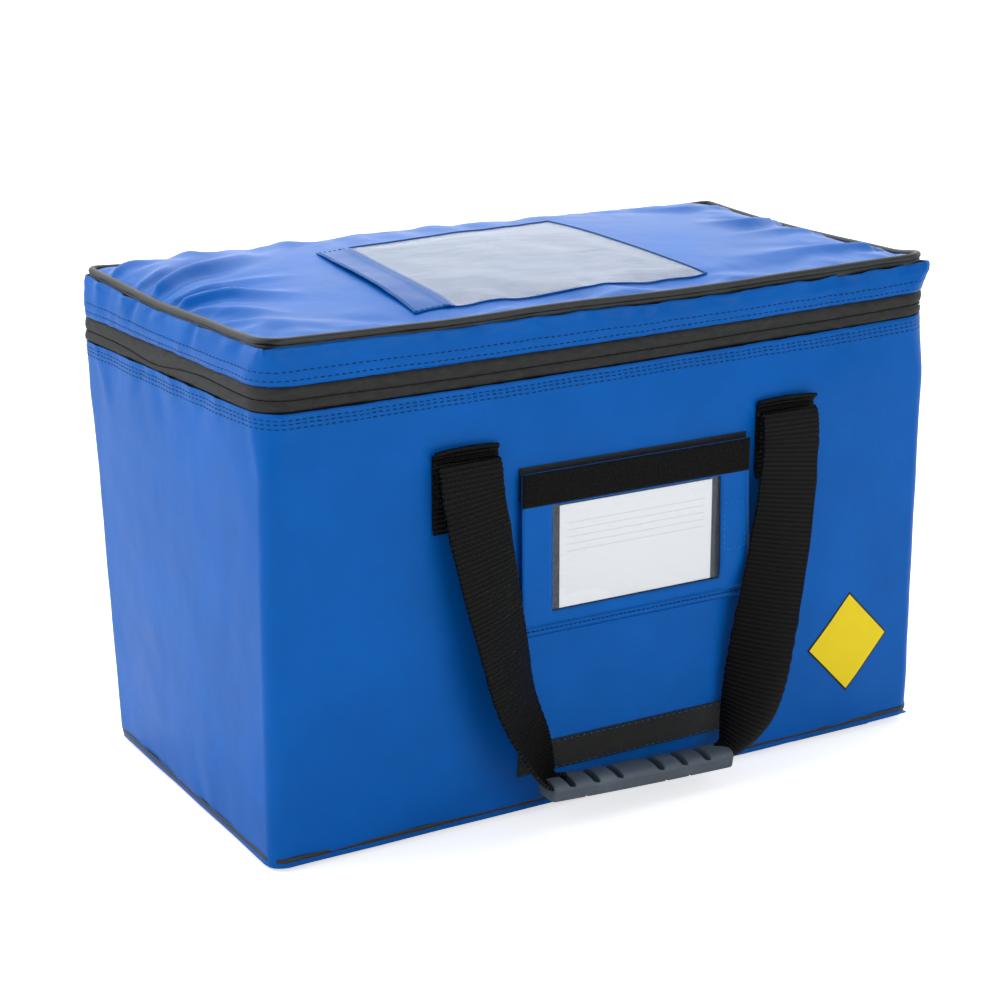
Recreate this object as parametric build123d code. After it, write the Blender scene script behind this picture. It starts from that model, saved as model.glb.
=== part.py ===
"""Insulated specimen bag: padded box bag with a hinged, zipped lid, two webbing
handles with moulded grips, a reversible address flap and a clear document pocket.

Millimetres. X runs along the bag, the front faces -Y and Z is up. The origin is
on the surface that the bag stands on, under the middle of the bag.
"""
from build123d import *
import os
from math import asin, cos, degrees, radians, sin

os.makedirs("parts", exist_ok=True)

# Bag body
body_length = 460.0
body_depth = 250.0
corner_radius = 14.0
cloth = 1.2
skid_height = 3.5
skid_width = 62.0
skid_inset = 32.0
skid_end_margin = 12.0
binding_height = 2.6
binding_thickness = 1.6
board_thickness = 3.0

# Insulation and liner
foam = 20.0
foam_setback = 1.3
liner = 1.0
liner_radius = 8.0

# Lid and zip; the lid's depth is from the zip to the piping
zip_height = 276.0
zip_opening = 16.0
lid_depth = 27.0
crown_height = 10.5
crown_corner_sides = 3
crown_profile = [(0.0, 0.0), (9.0, 0.38), (24.0, 0.7), (46.0, 0.9), (80.0, 1.0)]
piping_radius = 2.1
piping_sides = 6
tape_thickness = 1.0
tape_width = 18.0
tape_parting = 0.3
zip_back_margin = 17.0
tooth_pitch = 9.0
tooth_length = 3.6
tooth_thickness = 2.0
tooth_clearance = 0.35
bead_height = 1.2
lid_opening_clearance = 0.6
hinge_parting = 1.4

# Zip slider, which runs along the right side
slider_length = 22.0
slider_height = 12.0
slider_plate = 1.6
slider_web = 0.8
slider_web_length = 6.0
slider_clearance = 0.25
slider_rest_margin = 16.0
slider_travel = 170.0
pull_pin_radius = 0.8
pull_pin_standoff = 1.7
pull_eye_radius = 1.5
pull_length = 26.0
pull_height = 7.0
pull_thickness = 1.4
ear_thickness = 1.4
ear_length = 5.0

# Clear document pocket on the lid
pocket_length = 186.0
pocket_depth = 146.0
pocket_centre_x = 2.0
pocket_film = 0.5
edge_strip_width = 23.0
edge_strip_thickness = 0.9

# Handles: webbing, the patches that it is sewn to and the moulded grips
webbing_width = 40.0
webbing = 1.9
handle_spacing = 222.0
anchor_width = 42.0
anchor_height = 49.0
anchor_top = 235.0
anchor_thickness = 1.6
sewn_tail_height = 22.0
fold_height = 225.0
fold_standoff = 4.9
grip_length = 130.0
grip_width = 20.0
grip_height = 14.0
grip_chamfer = 3.6
grip_bow = 3.5
grip_standoff = 17.0
grip_low_point = 8.4
grip_ridge = 0.8
ridge_height = 1.6
hump_height = 2.4
hump_length = 15.0
middle_hump_length = 42.0
recess_depth = 2.2
grip_wall = 3.4
slot_chamfer = 1.6
core_clearance = 0.3
core_reach = 3.0

# Reversible address flap, its pocket, card and hook-and-loop strips
label_x = 4.0
flap_width = 159.0
flap_height = 93.5
flap_sheet = 0.6
flap_seam_height = 119.5
flap_seam_margin = 7.0
flap_seam_gap = 0.4
flap_standoff = 3.3
fastener_width = 20.0
hook_thickness = 1.2
loop_thickness = 1.0
hook_above_flap = 3.0
window_width = 118.0
window_height = 64.0
window_above_seam = 8.5
window_film = 0.3
pocket_sheet = 0.4
pocket_rim = 1.4
card_width = 107.0
card_height = 62.0
card_thickness = 0.3
card_clearance = 0.2

# Plain diamond mark
mark_side = 47.0
mark_inset = 60.0
mark_height = 65.0
mark_thickness = 0.3

half_depth = body_depth / 2
half_length = body_length / 2
lid_edge_height = zip_height + lid_depth
wall_bottom = skid_height + binding_height
wall_top = zip_height - zip_opening / 2
skirt_bottom = zip_height + zip_opening / 2
board_bottom = skid_height + cloth
foam_bottom = board_bottom + board_thickness
floor_top = foam_bottom + foam
tape_inner = cloth + tape_thickness
foam_outer = tape_inner + foam_setback - tape_thickness
teeth_inner = tape_inner + tooth_thickness
slider_inner = teeth_inner + slider_clearance + slider_plate
rebate = slider_inner + slider_clearance + 0.3
rebate_height = slider_height / 2 + 4.0
liner_inner = foam_outer + foam
body_foam_top = zip_height - lid_opening_clearance / 2 - liner
zip_back = half_depth - zip_back_margin


def box(x0, x1, y0, y1, z0, z1):
    """A box given by its limits along X, Y and Z."""
    centre = ((x0 + x1) / 2, (y0 + y1) / 2, (z0 + z1) / 2)
    return Pos(*centre) * Box(x1 - x0, y1 - y0, z1 - z0)


def front_box(x0, x1, out0, out1, z0, z1):
    """A box on the front wall, out0 and out1 measured outwards from the wall."""
    return box(x0, x1, -half_depth - out1, -half_depth - out0, z0, z1)


def slab(inset, bottom, top, least_radius=1.0):
    """The bag's plan, drawn in by inset, between two heights."""
    radius = max(corner_radius - inset, least_radius)
    plan = RectangleRounded(body_length - 2 * inset, body_depth - 2 * inset, radius)
    return Pos(0, 0, bottom) * extrude(plan, top - bottom)


def band(inset, thickness, bottom, top):
    """A band that follows the bag's plan all the way round."""
    return slab(inset, bottom, top) - slab(inset + thickness, bottom, top)


def front_part(shape, limit):
    """What of a shape lies in front of y = limit."""
    return shape & box(-body_length, body_length, -body_depth, limit, -10, 2 * zip_height)


def back_part(shape, limit):
    """What of a shape lies behind y = limit."""
    return shape & box(-body_length, body_length, limit, body_depth, -10, 2 * zip_height)


def turned_to_back(shape):
    """The same piece on the back of the bag."""
    return Rot(0, 0, 180) * shape


# Cover: one wrap of coated cloth, its base, the binding and the skids

def outer_wall():
    """The wrap of coated cloth round all four sides."""
    return band(0, cloth, wall_bottom, wall_top)


def base_binding():
    """Binding tape round the seam between wall and base."""
    return band(0, binding_thickness, skid_height, wall_bottom)


def base_panel():
    """Coated cloth under the bag."""
    return slab(binding_thickness, skid_height, board_bottom)


def base_board():
    """Stiffener board between base cloth and foam."""
    return slab(foam_outer, board_bottom, foam_bottom)


def skid(side):
    """One of the two strips that the bag stands on; side is -1 or 1."""
    x = side * (half_length - skid_inset - skid_width / 2)
    reach = half_depth - skid_end_margin
    return box(x - skid_width / 2, x + skid_width / 2, -reach, reach, 0, skid_height)


# Foam panels and the inner liner

def rebated(panel, bottom, top):
    """A foam panel with its outer face cut back to clear the zip."""
    ring = slab(-1.0, bottom, top) - slab(rebate, bottom, top)
    return panel - ring


def foam_base():
    """Foam slab on the base board."""
    return slab(foam_outer, foam_bottom, floor_top)


def foam_end(side):
    """Foam panel of the left or right wall, the full depth of the bag."""
    panel = slab(foam_outer, floor_top, body_foam_top)
    inner = half_length - liner_inner
    end = box(0, body_length, -body_depth, body_depth, 0, 2 * zip_height)
    end -= box(0, inner, -body_depth, body_depth, 0, 2 * zip_height)
    piece = rebated(panel & end, zip_height - rebate_height, body_foam_top)
    return piece if side > 0 else mirror(piece, Plane.YZ)


def foam_side(side):
    """Foam panel of the front (-1) or back (1) wall, between the end panels."""
    inner = half_length - liner_inner
    y0 = half_depth - liner_inner
    y1 = half_depth - foam_outer
    panel = box(-inner, inner, y0, y1, floor_top, body_foam_top)
    piece = rebated(panel, zip_height - rebate_height, body_foam_top)
    return piece if side > 0 else mirror(piece, Plane.XZ)


def liner_block(inset, bottom, top):
    """The inside of the bag as a block, drawn in by inset from the foam."""
    width = body_length - 2 * (liner_inner + inset)
    depth = body_depth - 2 * (liner_inner + inset)
    plan = RectangleRounded(width, depth, liner_radius - inset)
    return Pos(0, 0, bottom) * extrude(plan, top - bottom)


def inner_liner():
    """Wipe-clean tub with a rim that covers the top of the foam."""
    rim_top = body_foam_top + liner
    tub = liner_block(0, floor_top, rim_top) - liner_block(liner, floor_top + liner, rim_top)
    rim = slab(rebate, body_foam_top, rim_top) - liner_block(0, body_foam_top, rim_top)
    return tub + rim


# Zip: two tapes with interlocking teeth on three sides, and the back hinge

def slider_slot(upper):
    """Room for the slider's web along its travel, cut from one half of the zip."""
    half = slider_web / 2 + slider_clearance
    low = zip_height - tooth_length if upper else zip_height - half
    high = zip_height + half if upper else zip_height + tooth_length
    front = zip_back - slider_rest_margin - slider_travel - slider_length
    return box(half_length - rebate, half_length, front, zip_back, low, high)


def zip_tape(upper):
    """Zip tape of the lid (upper) or of the body, on the front and both sides."""
    low = zip_height + tape_parting / 2 if upper else zip_height - tape_width
    high = zip_height + tape_width if upper else zip_height - tape_parting / 2
    return front_part(band(cloth, tape_thickness, low, high), zip_back) - slider_slot(upper)


def tooth_positions(length):
    """Places of one row's teeth along a straight run, centred on the run."""
    count = int((length - tooth_pitch) / tooth_pitch)
    start = -(count - 1) * tooth_pitch / 2
    return [start + i * tooth_pitch for i in range(count)]


def tooth_row(length, upper):
    """A straight row of teeth along X, seated on the inner face of a tape at y = 0."""
    width = tooth_pitch / 2 - tooth_clearance
    up = 1 if upper else -1
    shift = tooth_pitch / 4 if upper else -tooth_pitch / 4
    root = up * tooth_length / 2
    bead = Pos(0, 0, root + up * bead_height / 2) * Box(length, tooth_thickness, bead_height)
    tooth = Box(width, tooth_thickness, tooth_length)
    teeth = [Pos(x + shift, 0, up * tooth_clearance / 2) * tooth for x in tooth_positions(length)]
    return Pos(0, tooth_thickness / 2, zip_height) * (bead + teeth)


def zip_teeth(upper):
    """The chain of one tape: three toothed runs joined by plain beads round the corners."""
    depth = half_depth - tape_inner
    reach = half_length - tape_inner
    side_length = zip_back + half_depth - corner_radius
    side_centre = (zip_back - half_depth + corner_radius) / 2
    chain = Pos(0, -depth, 0) * tooth_row(body_length - 2 * corner_radius, upper)
    side = Rot(0, 0, 90) * tooth_row(side_length, upper)
    chain += Pos(reach, side_centre, 0) * side
    chain += Pos(-reach, side_centre, 0) * mirror(side, Plane.YZ)
    low = zip_height + tooth_length / 2 if upper else zip_height - tooth_length / 2 - bead_height
    corners = band(tape_inner, tooth_thickness, low, low + bead_height)
    chain += front_part(corners, corner_radius - half_depth)
    return chain - slider_slot(upper)


def hinge_strip(upper):
    """Cloth hinge at the back, sewn behind the lid's skirt (upper) or the wall."""
    low = zip_height + hinge_parting / 2 if upper else zip_height - tape_width
    high = zip_height + tape_width if upper else zip_height - hinge_parting / 2
    return back_part(band(cloth, tape_thickness, low, high), zip_back + tape_parting)


# Lid

def faceted_outline(width, depth, radius, height):
    """Points of a level rounded rectangle whose corners are cut to a few sides."""
    points = []
    for quarter, (sx, sy) in enumerate([(1, 1), (-1, 1), (-1, -1), (1, -1)]):
        for step in range(crown_corner_sides + 1):
            angle = radians(90 * (quarter + step / crown_corner_sides))
            x = sx * (width / 2 - radius) + radius * cos(angle)
            y = sy * (depth / 2 - radius) + radius * sin(angle)
            points.append((x, y, height))
    return points


def flat_sided(outlines):
    """A solid through level outlines of equal count, with a flat facet between each pair of edges."""
    facets = [outlines[0], outlines[-1]]
    for lower, upper in zip(outlines, outlines[1:]):
        for i in range(len(lower)):
            j = (i + 1) % len(lower)
            facets.append([lower[i], lower[j], upper[j], upper[i]])
    return Solid(Shell([Face(Wire.make_polygon(points)) for points in facets]))


def crown(inset, lift, bottom):
    """The lid's padded top as a solid, drawn in by inset and raised by lift."""
    outlines = []
    for drawn_in, share in crown_profile:
        width = body_length - 2 * (inset + drawn_in)
        depth = body_depth - 2 * (inset + drawn_in)
        radius = corner_radius * 0.75 + drawn_in * 0.3
        height = lid_edge_height + lift + crown_height * share
        outlines.append(faceted_outline(width, depth, radius, height))
    foot = [(x, y, bottom) for x, y, z in outlines[0]]
    return flat_sided([foot] + outlines)


top_inset = piping_radius + 1.2
padding_bottom = lid_edge_height - piping_radius


def lid_top_panel():
    """Coated cloth over the padded top."""
    return crown(top_inset, 0, padding_bottom) - crown(top_inset + cloth, -cloth, padding_bottom - cloth)


def lid_padding():
    """Soft wadding under the top cloth."""
    return crown(top_inset + cloth + 0.3, -cloth - 0.3, padding_bottom)


def lid_skirt():
    """Coated cloth band between piping and zip."""
    return band(0, cloth, skirt_bottom, padding_bottom)


def lid_piping():
    """Piping along the top edge of the lid, its round section cut to a few sides."""
    inset = 1.0
    width = body_length - 2 * inset
    depth = body_depth - 2 * inset
    path = Pos(0, 0, lid_edge_height) * RectangleRounded(width, depth, corner_radius - inset)
    wire = path.face().outer_wire()
    start = Plane(origin=wire @ 0, z_dir=wire % 0)
    return sweep(start * RegularPolygon(piping_radius, piping_sides), path=wire)


def lid_foam():
    """Foam slab of the lid, which closes on the liner's rim."""
    bottom = zip_height + lid_opening_clearance / 2 + liner
    panel = slab(foam_outer, bottom, padding_bottom)
    return rebated(panel, bottom, zip_height + rebate_height)


def lid_liner():
    """Wipe-clean sheet under the lid's foam."""
    bottom = zip_height + lid_opening_clearance / 2
    return slab(rebate, bottom, bottom + liner)


def crown_sheet(x0, x1, y0, y1, low, high):
    """A sheet that follows the crowned top, between two heights above it."""
    layer = crown(top_inset, high, padding_bottom) - crown(top_inset, low, padding_bottom)
    return layer & box(x0, x1, y0, y1, lid_edge_height, lid_edge_height + 2 * crown_height)


def document_pocket():
    """Clear film pocket on the lid."""
    x0 = pocket_centre_x - pocket_length / 2
    x1 = pocket_centre_x + pocket_length / 2
    return crown_sheet(x0, x1, -pocket_depth / 2, pocket_depth / 2, 0, pocket_film)


def pocket_edge_strip():
    """Coated cloth strip along the pocket's open left end."""
    x1 = pocket_centre_x - pocket_length / 2
    half = pocket_depth / 2 + 2
    return crown_sheet(x1 - edge_strip_width, x1, -half, half, 0, edge_strip_thickness)


# Zip slider and pull on the right side

slider_y = zip_back - slider_rest_margin
outer_plate_in = cloth - slider_clearance
outer_plate_out = outer_plate_in - slider_plate
pull_axis_x = half_length - outer_plate_out + pull_pin_standoff


def right_box(depth0, depth1, y0, y1, half_height):
    """A box on the right wall round the zip, depths measured inwards from the wall."""
    x0 = half_length - depth1
    x1 = half_length - depth0
    return box(x0, x1, y0, y1, zip_height - half_height, zip_height + half_height)


def zip_slider():
    """Two plates on either side of the zip, the web between them and two ears."""
    y0 = slider_y - slider_length / 2
    y1 = slider_y + slider_length / 2
    half = slider_height / 2
    outer = right_box(outer_plate_out, outer_plate_in, y0, y1, half)
    outer = fillet(outer.edges().filter_by(Axis.X), 3.0)
    inner = right_box(slider_inner - slider_plate, slider_inner, y0, y1, half)
    inner = fillet(inner.edges().filter_by(Axis.X), 3.0)
    web_front = y1 - slider_web_length - 1
    web = right_box(outer_plate_in, slider_inner - slider_plate, web_front, y1 - 1, slider_web / 2)
    body = outer + inner + web
    reach = pull_pin_standoff + pull_pin_radius + 0.5
    for side in (-1, 1):
        z = zip_height + side * (pull_height / 2 + slider_clearance + ear_thickness / 2)
        x0 = half_length - outer_plate_out
        ear = box(x0, x0 + reach, slider_y - ear_length / 2, slider_y + ear_length / 2,
                  z - ear_thickness / 2, z + ear_thickness / 2)
        body += ear
    bore = Pos(pull_axis_x, slider_y, zip_height) * Cylinder(pull_pin_radius, slider_height)
    return body - bore


def zip_pin():
    """Pin that the pull turns on."""
    length = pull_height + 2 * (slider_clearance + ear_thickness)
    return Pos(pull_axis_x, slider_y, zip_height) * Cylinder(pull_pin_radius, length)


def zip_pull():
    """Tab that lies forwards along the zip from its eye on the pin."""
    eye = Pos(pull_axis_x, slider_y, zip_height) * Cylinder(pull_eye_radius, pull_height)
    x0 = pull_axis_x - pull_thickness / 2
    tab = box(x0, x0 + pull_thickness, slider_y - pull_length, slider_y,
              zip_height - pull_height / 2, zip_height + pull_height / 2)
    tab = fillet(tab.edges().filter_by(Axis.X).group_by(Axis.Y)[0], pull_height / 2 - 0.4)
    hole = Pos(pull_axis_x, slider_y - pull_length + pull_height / 2, zip_height)
    hole *= Rot(0, 90, 0) * Cylinder(pull_height / 4, 3 * pull_thickness)
    bore = Pos(pull_axis_x, slider_y, zip_height) * Cylinder(pull_pin_radius + 0.06, 2 * pull_height)
    return eye + tab - hole - bore


# Handles

grip_radius = (grip_length / 2) ** 2 / (2 * grip_bow) + grip_bow / 2
grip_middle = grip_low_point + grip_height / 2
grip_centre_z = grip_middle + grip_radius
grip_y = -half_depth - grip_standoff


def along_grip(distance, height):
    """Point (x, z) at a distance along the bowed grip and a height over its middle line."""
    angle = distance / grip_radius
    radius = grip_radius - height
    return radius * sin(angle), grip_centre_z - radius * cos(angle)


def bowed_bar(section, length):
    """A section bent along the grip's bow over a length."""
    angle = degrees(length / grip_radius)
    face = Plane(origin=(0, grip_y, grip_middle), z_dir=(1, 0, 0), x_dir=(0, 1, 0)) * section
    axis = Axis((0, grip_y, grip_centre_z), (0, 1, 0))
    return revolve(face, axis, revolution_arc=angle).rotate(axis, -angle / 2)


def chamfered(width, height, cut):
    """A bar section: a rectangle with its corners cut off."""
    x, y = width / 2, height / 2
    right = [(x - cut, -y), (x, cut - y), (x, y - cut), (x - cut, y)]
    left = [(-px, py) for px, py in reversed(right)]
    return make_face(Polyline(*right, *left, close=True))


def hump_edges():
    """Distances along the grip where one finger hump ends and the next begins."""
    half = middle_hump_length / 2
    right = [half, half + hump_length, half + 2 * hump_length]
    return [-value for value in reversed(right)] + right


def grip_profile():
    """Side view of the grip: bowed underside and a row of finger humps on top."""
    ends = [-grip_length / 2] + hump_edges() + [grip_length / 2]
    valley = grip_height / 2 - hump_height
    points = [along_grip(end, valley) for end in ends]
    edges = []
    for (here, there), (p0, p1) in zip(zip(ends, ends[1:]), zip(points, points[1:])):
        crest = along_grip((here + there) / 2, grip_height / 2)
        edges.append(ThreePointArc(p0, crest, p1))
    low = [along_grip(end, -grip_height / 2) for end in (-grip_length / 2, 0, grip_length / 2)]
    edges.append(Line(points[-1], low[2]))
    edges.append(ThreePointArc(low[2], low[1], low[0]))
    edges.append(Line(low[0], points[0]))
    return make_face(edges)


def grip_recesses():
    """Wedge-shaped hollows in both flanks below each dip between two humps."""
    cuts = []
    top = grip_height / 2 - hump_height + 0.5
    for place in hump_edges():
        lean = 1 if place < 0 else -1
        wedge = [along_grip(place - lean * 3.5, top), along_grip(place + lean * 1.5, top),
                 along_grip(place + lean * 1.5, top - 4.0)]
        face = Plane.XZ * make_face(Polyline(*wedge, close=True))
        for y0 in (grip_y - grip_width / 2 + recess_depth, grip_y + grip_width / 2 + 2):
            cuts.append(Pos(0, y0, 0) * extrude(face, recess_depth + 2))
    return cuts


def grip():
    """Moulded grip: rounded bar with finger humps, flank ridge and webbing slot."""
    bar = bowed_bar(chamfered(grip_width, grip_height, grip_chamfer), grip_length)
    profile = Pos(0, grip_y, 0) * extrude(Plane.XZ * grip_profile(), grip_width, both=True)
    ridge = Pos(0, -grip_height / 6) * Rectangle(grip_width + 2 * grip_ridge, ridge_height)
    body = (bar & profile) + bowed_bar(ridge, grip_length)
    for cut in grip_recesses():
        body -= cut
    slot = chamfered(grip_width - 2 * grip_wall, grip_height - 2 * grip_wall, slot_chamfer)
    return body - bowed_bar(slot, grip_length + 2)


def grip_webbing():
    """The handle's webbing, rolled lengthwise, inside the grip."""
    width = grip_width - 2 * (grip_wall + core_clearance)
    height = grip_height - 2 * (grip_wall + core_clearance)
    return bowed_bar(chamfered(width, height, slot_chamfer), grip_length + 2 * core_reach)


def anchor(side):
    """Patch sewn to the wall with the webbing's sewn tail on it; side is -1 or 1."""
    x = side * handle_spacing / 2
    half = anchor_width / 2
    patch = front_box(x - half, x + half, 0, anchor_thickness, anchor_top - anchor_height, anchor_top)
    half = webbing_width / 2
    tail = front_box(x - half, x + half, anchor_thickness, anchor_thickness + webbing,
                     fold_height - sewn_tail_height, fold_height)
    return patch + tail


def ribbon(sections):
    """A closed ribbon through rectangular sections, with flat three-sided facets."""
    facets = []
    for near, far in zip(sections, sections[1:]):
        for i in range(4):
            j = (i + 1) % 4
            facets.append([near[i], near[j], far[j]])
            facets.append([near[i], far[j], far[i]])
    for cap in (sections[0], sections[-1]):
        facets.append([cap[0], cap[1], cap[2]])
        facets.append([cap[0], cap[2], cap[3]])
    return Solid(Shell([Face(Wire.make_polygon(points)) for points in facets]))


def corners(place, width, thickness):
    """The four corners of a rectangle on a placed plane."""
    x, y = width / 2, thickness / 2
    return [(place * Pos(*point)).position for point in ((-x, -y), (x, -y), (x, y), (-x, y))]


def strap(side):
    """Webbing from the fold at its anchor down to the grip, turning inwards as it falls."""
    top_x = handle_spacing / 2
    end_x, end_z = along_grip(grip_length / 2 + core_reach, 0)
    drop = fold_height - end_z
    stations = [
        (0.00, 0.00, fold_standoff, 0.0, webbing_width, webbing),
        (0.12, 0.04, fold_standoff + 3.6, 0.0, webbing_width, webbing),
        (0.35, 0.22, grip_standoff - 3.0, 6.0, webbing_width, webbing),
        (0.58, 0.45, grip_standoff, 20.0, webbing_width * 0.96, webbing * 1.5),
        (0.78, 0.64, grip_standoff, 34.0, webbing_width * 0.86, webbing * 2.2),
        (0.90, 0.80, grip_standoff, 45.0, webbing_width * 0.62, webbing * 3.0),
    ]
    sections = []
    for fallen, inwards, standoff, turn, width, thickness in stations:
        x = top_x + (end_x - top_x) * inwards
        place = Pos(x, -half_depth - standoff, fold_height - drop * fallen) * Rot(0, 0, -turn)
        sections.append(corners(place, width, thickness))
    lean = asin(end_x / grip_radius)
    across = (sin(lean), 0, -cos(lean))
    along = (cos(lean), 0, sin(lean))
    mouth = Plane(origin=(end_x, grip_y, end_z), x_dir=across, z_dir=along)
    height = grip_height - 2 * (grip_wall + core_clearance)
    sections.append(corners(mouth.location, height, grip_width / 2))
    piece = ribbon(sections)
    return piece if side > 0 else mirror(piece, Plane.YZ)


# Address flap on the front wall

flap_left = label_x - flap_width / 2
flap_right = label_x + flap_width / 2
flap_bottom = flap_seam_height + flap_seam_gap
flap_top = flap_seam_height + flap_height
window_bottom = flap_seam_height + window_above_seam
window_top = window_bottom + window_height
sheet_back = flap_standoff - flap_sheet / 2
sheet_front = flap_standoff + flap_sheet / 2
card_back = sheet_back - window_film - card_clearance - card_thickness
tray_front = card_back - card_clearance
tray_left = label_x - window_width / 2 - pocket_rim - 1.0
tray_bottom = window_bottom - pocket_rim - 0.6
tray_top = flap_top - fastener_width - 0.2


def label_flap_panel():
    """Coated cloth flap with its window opening."""
    sheet = front_box(flap_left, flap_right, sheet_back, sheet_front, flap_bottom, flap_top)
    half = window_width / 2
    return sheet - front_box(label_x - half, label_x + half, 0, 2 * flap_standoff,
                             window_bottom, window_top)


def label_window():
    """Clear film behind the window opening."""
    return front_box(tray_left + pocket_rim, flap_right - 3, sheet_back - window_film, sheet_back,
                     tray_bottom + pocket_rim, tray_top - pocket_rim / 2)


def label_pocket_back():
    """Back sheet of the card pocket, closed at the left, top and bottom."""
    tray = front_box(tray_left, flap_right, tray_front - pocket_sheet, sheet_back, tray_bottom, tray_top)
    return tray - front_box(tray_left + pocket_rim, flap_right + 1, tray_front, sheet_back,
                            tray_bottom + pocket_rim, tray_top - pocket_rim / 2)


def loop_strip(front):
    """Loop tape along the flap's top edge, on its front or its back."""
    out0 = sheet_front if front else sheet_back - loop_thickness
    return front_box(flap_left, flap_right, out0, out0 + loop_thickness,
                     flap_top - fastener_width, flap_top)


def hook_strip(bottom):
    """Hook tape on the wall."""
    return front_box(flap_left, flap_right, 0, hook_thickness, bottom, bottom + fastener_width)


def upper_hook_strip():
    """Hook tape behind the raised flap, standing a little above it."""
    return hook_strip(flap_top + hook_above_flap - fastener_width)


def lower_hook_strip():
    """Hook tape that holds the flap when it is turned down."""
    return hook_strip(2 * flap_seam_height - flap_top)


def label_flap_seam():
    """Folded hem that sews the flap to the wall."""
    return front_box(flap_left, flap_right, 0, sheet_back - 0.35, flap_seam_height - flap_seam_margin,
                     flap_seam_height)


def label_card():
    """White card in the flap's pocket."""
    bottom = tray_bottom + pocket_rim + (tray_top - tray_bottom - 1.5 * pocket_rim - card_height) / 2
    half = card_width / 2
    return front_box(label_x - half, label_x + half, card_back, card_back + card_thickness,
                     bottom, bottom + card_height)


def marker_patch():
    """Plain diamond mark low on the front wall."""
    diamond = Pos(half_length - mark_inset, mark_height) * Rot(0, 0, 45) * Rectangle(mark_side, mark_side)
    return Pos(0, -half_depth, 0) * extrude(Plane.XZ * diamond, mark_thickness)


pieces = {
    "outer_wall": outer_wall(),
    "base_binding": base_binding(),
    "base_panel": base_panel(),
    "base_board": base_board(),
    "skid_left": skid(-1),
    "skid_right": skid(1),
    "foam_base": foam_base(),
    "foam_left": foam_end(-1),
    "foam_right": foam_end(1),
    "foam_front": foam_side(-1),
    "foam_back": foam_side(1),
    "inner_liner": inner_liner(),
    "zip_tape_lower": zip_tape(False),
    "zip_tape_upper": zip_tape(True),
    "zip_teeth_lower": zip_teeth(False),
    "zip_teeth_upper": zip_teeth(True),
    "hinge_strip_lower": hinge_strip(False),
    "hinge_strip_upper": hinge_strip(True),
    "lid_top_panel": lid_top_panel(),
    "lid_padding": lid_padding(),
    "lid_skirt": lid_skirt(),
    "lid_piping": lid_piping(),
    "lid_foam": lid_foam(),
    "lid_liner": lid_liner(),
    "document_pocket": document_pocket(),
    "pocket_edge_strip": pocket_edge_strip(),
    "zip_slider": zip_slider(),
    "zip_pin": zip_pin(),
    "zip_pull": zip_pull(),
    "front_anchor_left": anchor(-1),
    "front_anchor_right": anchor(1),
    "front_strap_left": strap(-1),
    "front_strap_right": strap(1),
    "front_grip": grip(),
    "front_grip_webbing": grip_webbing(),
    "label_flap_panel": label_flap_panel(),
    "label_window": label_window(),
    "label_pocket_back": label_pocket_back(),
    "label_loop_front": loop_strip(True),
    "label_loop_back": loop_strip(False),
    "label_hook_upper": upper_hook_strip(),
    "label_hook_lower": lower_hook_strip(),
    "label_flap_seam": label_flap_seam(),
    "label_card": label_card(),
    "marker_patch": marker_patch(),
}

# The back handle is the front one, turned half a turn about the bag's middle
back_names = {
    "back_anchor_right": "front_anchor_left",
    "back_anchor_left": "front_anchor_right",
    "back_strap_right": "front_strap_left",
    "back_strap_left": "front_strap_right",
    "back_grip": "front_grip",
    "back_grip_webbing": "front_grip_webbing",
}
for back_name, front_name in back_names.items():
    pieces[back_name] = turned_to_back(pieces[front_name])

for name, piece in pieces.items():
    export_step(piece, f"parts/{name}.step")
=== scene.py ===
"""Looks of the insulated specimen bag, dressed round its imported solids.

Metres. X runs along the bag, the front faces -Y and Z is up.
"""

import logging
import math
from dataclasses import dataclass
from enum import Enum
from typing import Callable, Iterable, Optional, Sequence

import bpy
import numpy as np
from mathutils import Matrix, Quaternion, Vector, noise


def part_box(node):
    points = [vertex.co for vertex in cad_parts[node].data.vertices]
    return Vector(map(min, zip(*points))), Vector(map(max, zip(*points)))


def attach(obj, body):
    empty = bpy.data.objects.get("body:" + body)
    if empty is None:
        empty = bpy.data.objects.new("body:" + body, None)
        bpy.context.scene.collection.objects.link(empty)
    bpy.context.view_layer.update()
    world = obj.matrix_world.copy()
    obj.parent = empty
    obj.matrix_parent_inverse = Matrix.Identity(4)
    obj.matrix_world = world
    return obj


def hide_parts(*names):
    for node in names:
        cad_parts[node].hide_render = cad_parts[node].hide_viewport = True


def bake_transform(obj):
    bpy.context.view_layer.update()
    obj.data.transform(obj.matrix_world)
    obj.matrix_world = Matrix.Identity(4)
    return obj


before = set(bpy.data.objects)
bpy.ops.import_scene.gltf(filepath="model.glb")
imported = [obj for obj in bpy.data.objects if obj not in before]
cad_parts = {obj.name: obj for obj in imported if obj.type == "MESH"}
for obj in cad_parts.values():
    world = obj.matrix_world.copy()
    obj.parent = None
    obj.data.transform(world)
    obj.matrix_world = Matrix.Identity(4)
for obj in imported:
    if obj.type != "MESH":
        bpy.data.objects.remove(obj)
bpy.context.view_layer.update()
log = logging.getLogger("specimen_bag")

Piece = bpy.types.Object
Material = bpy.types.Material
Points = np.ndarray
Surface = tuple[Points, Points]  # points and outward directions
Shell = tuple[Points, list]  # points and faces

CLOTH = 0.0012  # thickness of the coated cloth
WALL_FACE = 0.125  # distance from the middle plane to the front and back walls


# Shader maths

class Tree(Enum):
    """What a node tree belongs to, by its output node."""

    MATERIAL = "ShaderNodeOutputMaterial"
    WORLD = "ShaderNodeOutputWorld"


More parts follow.
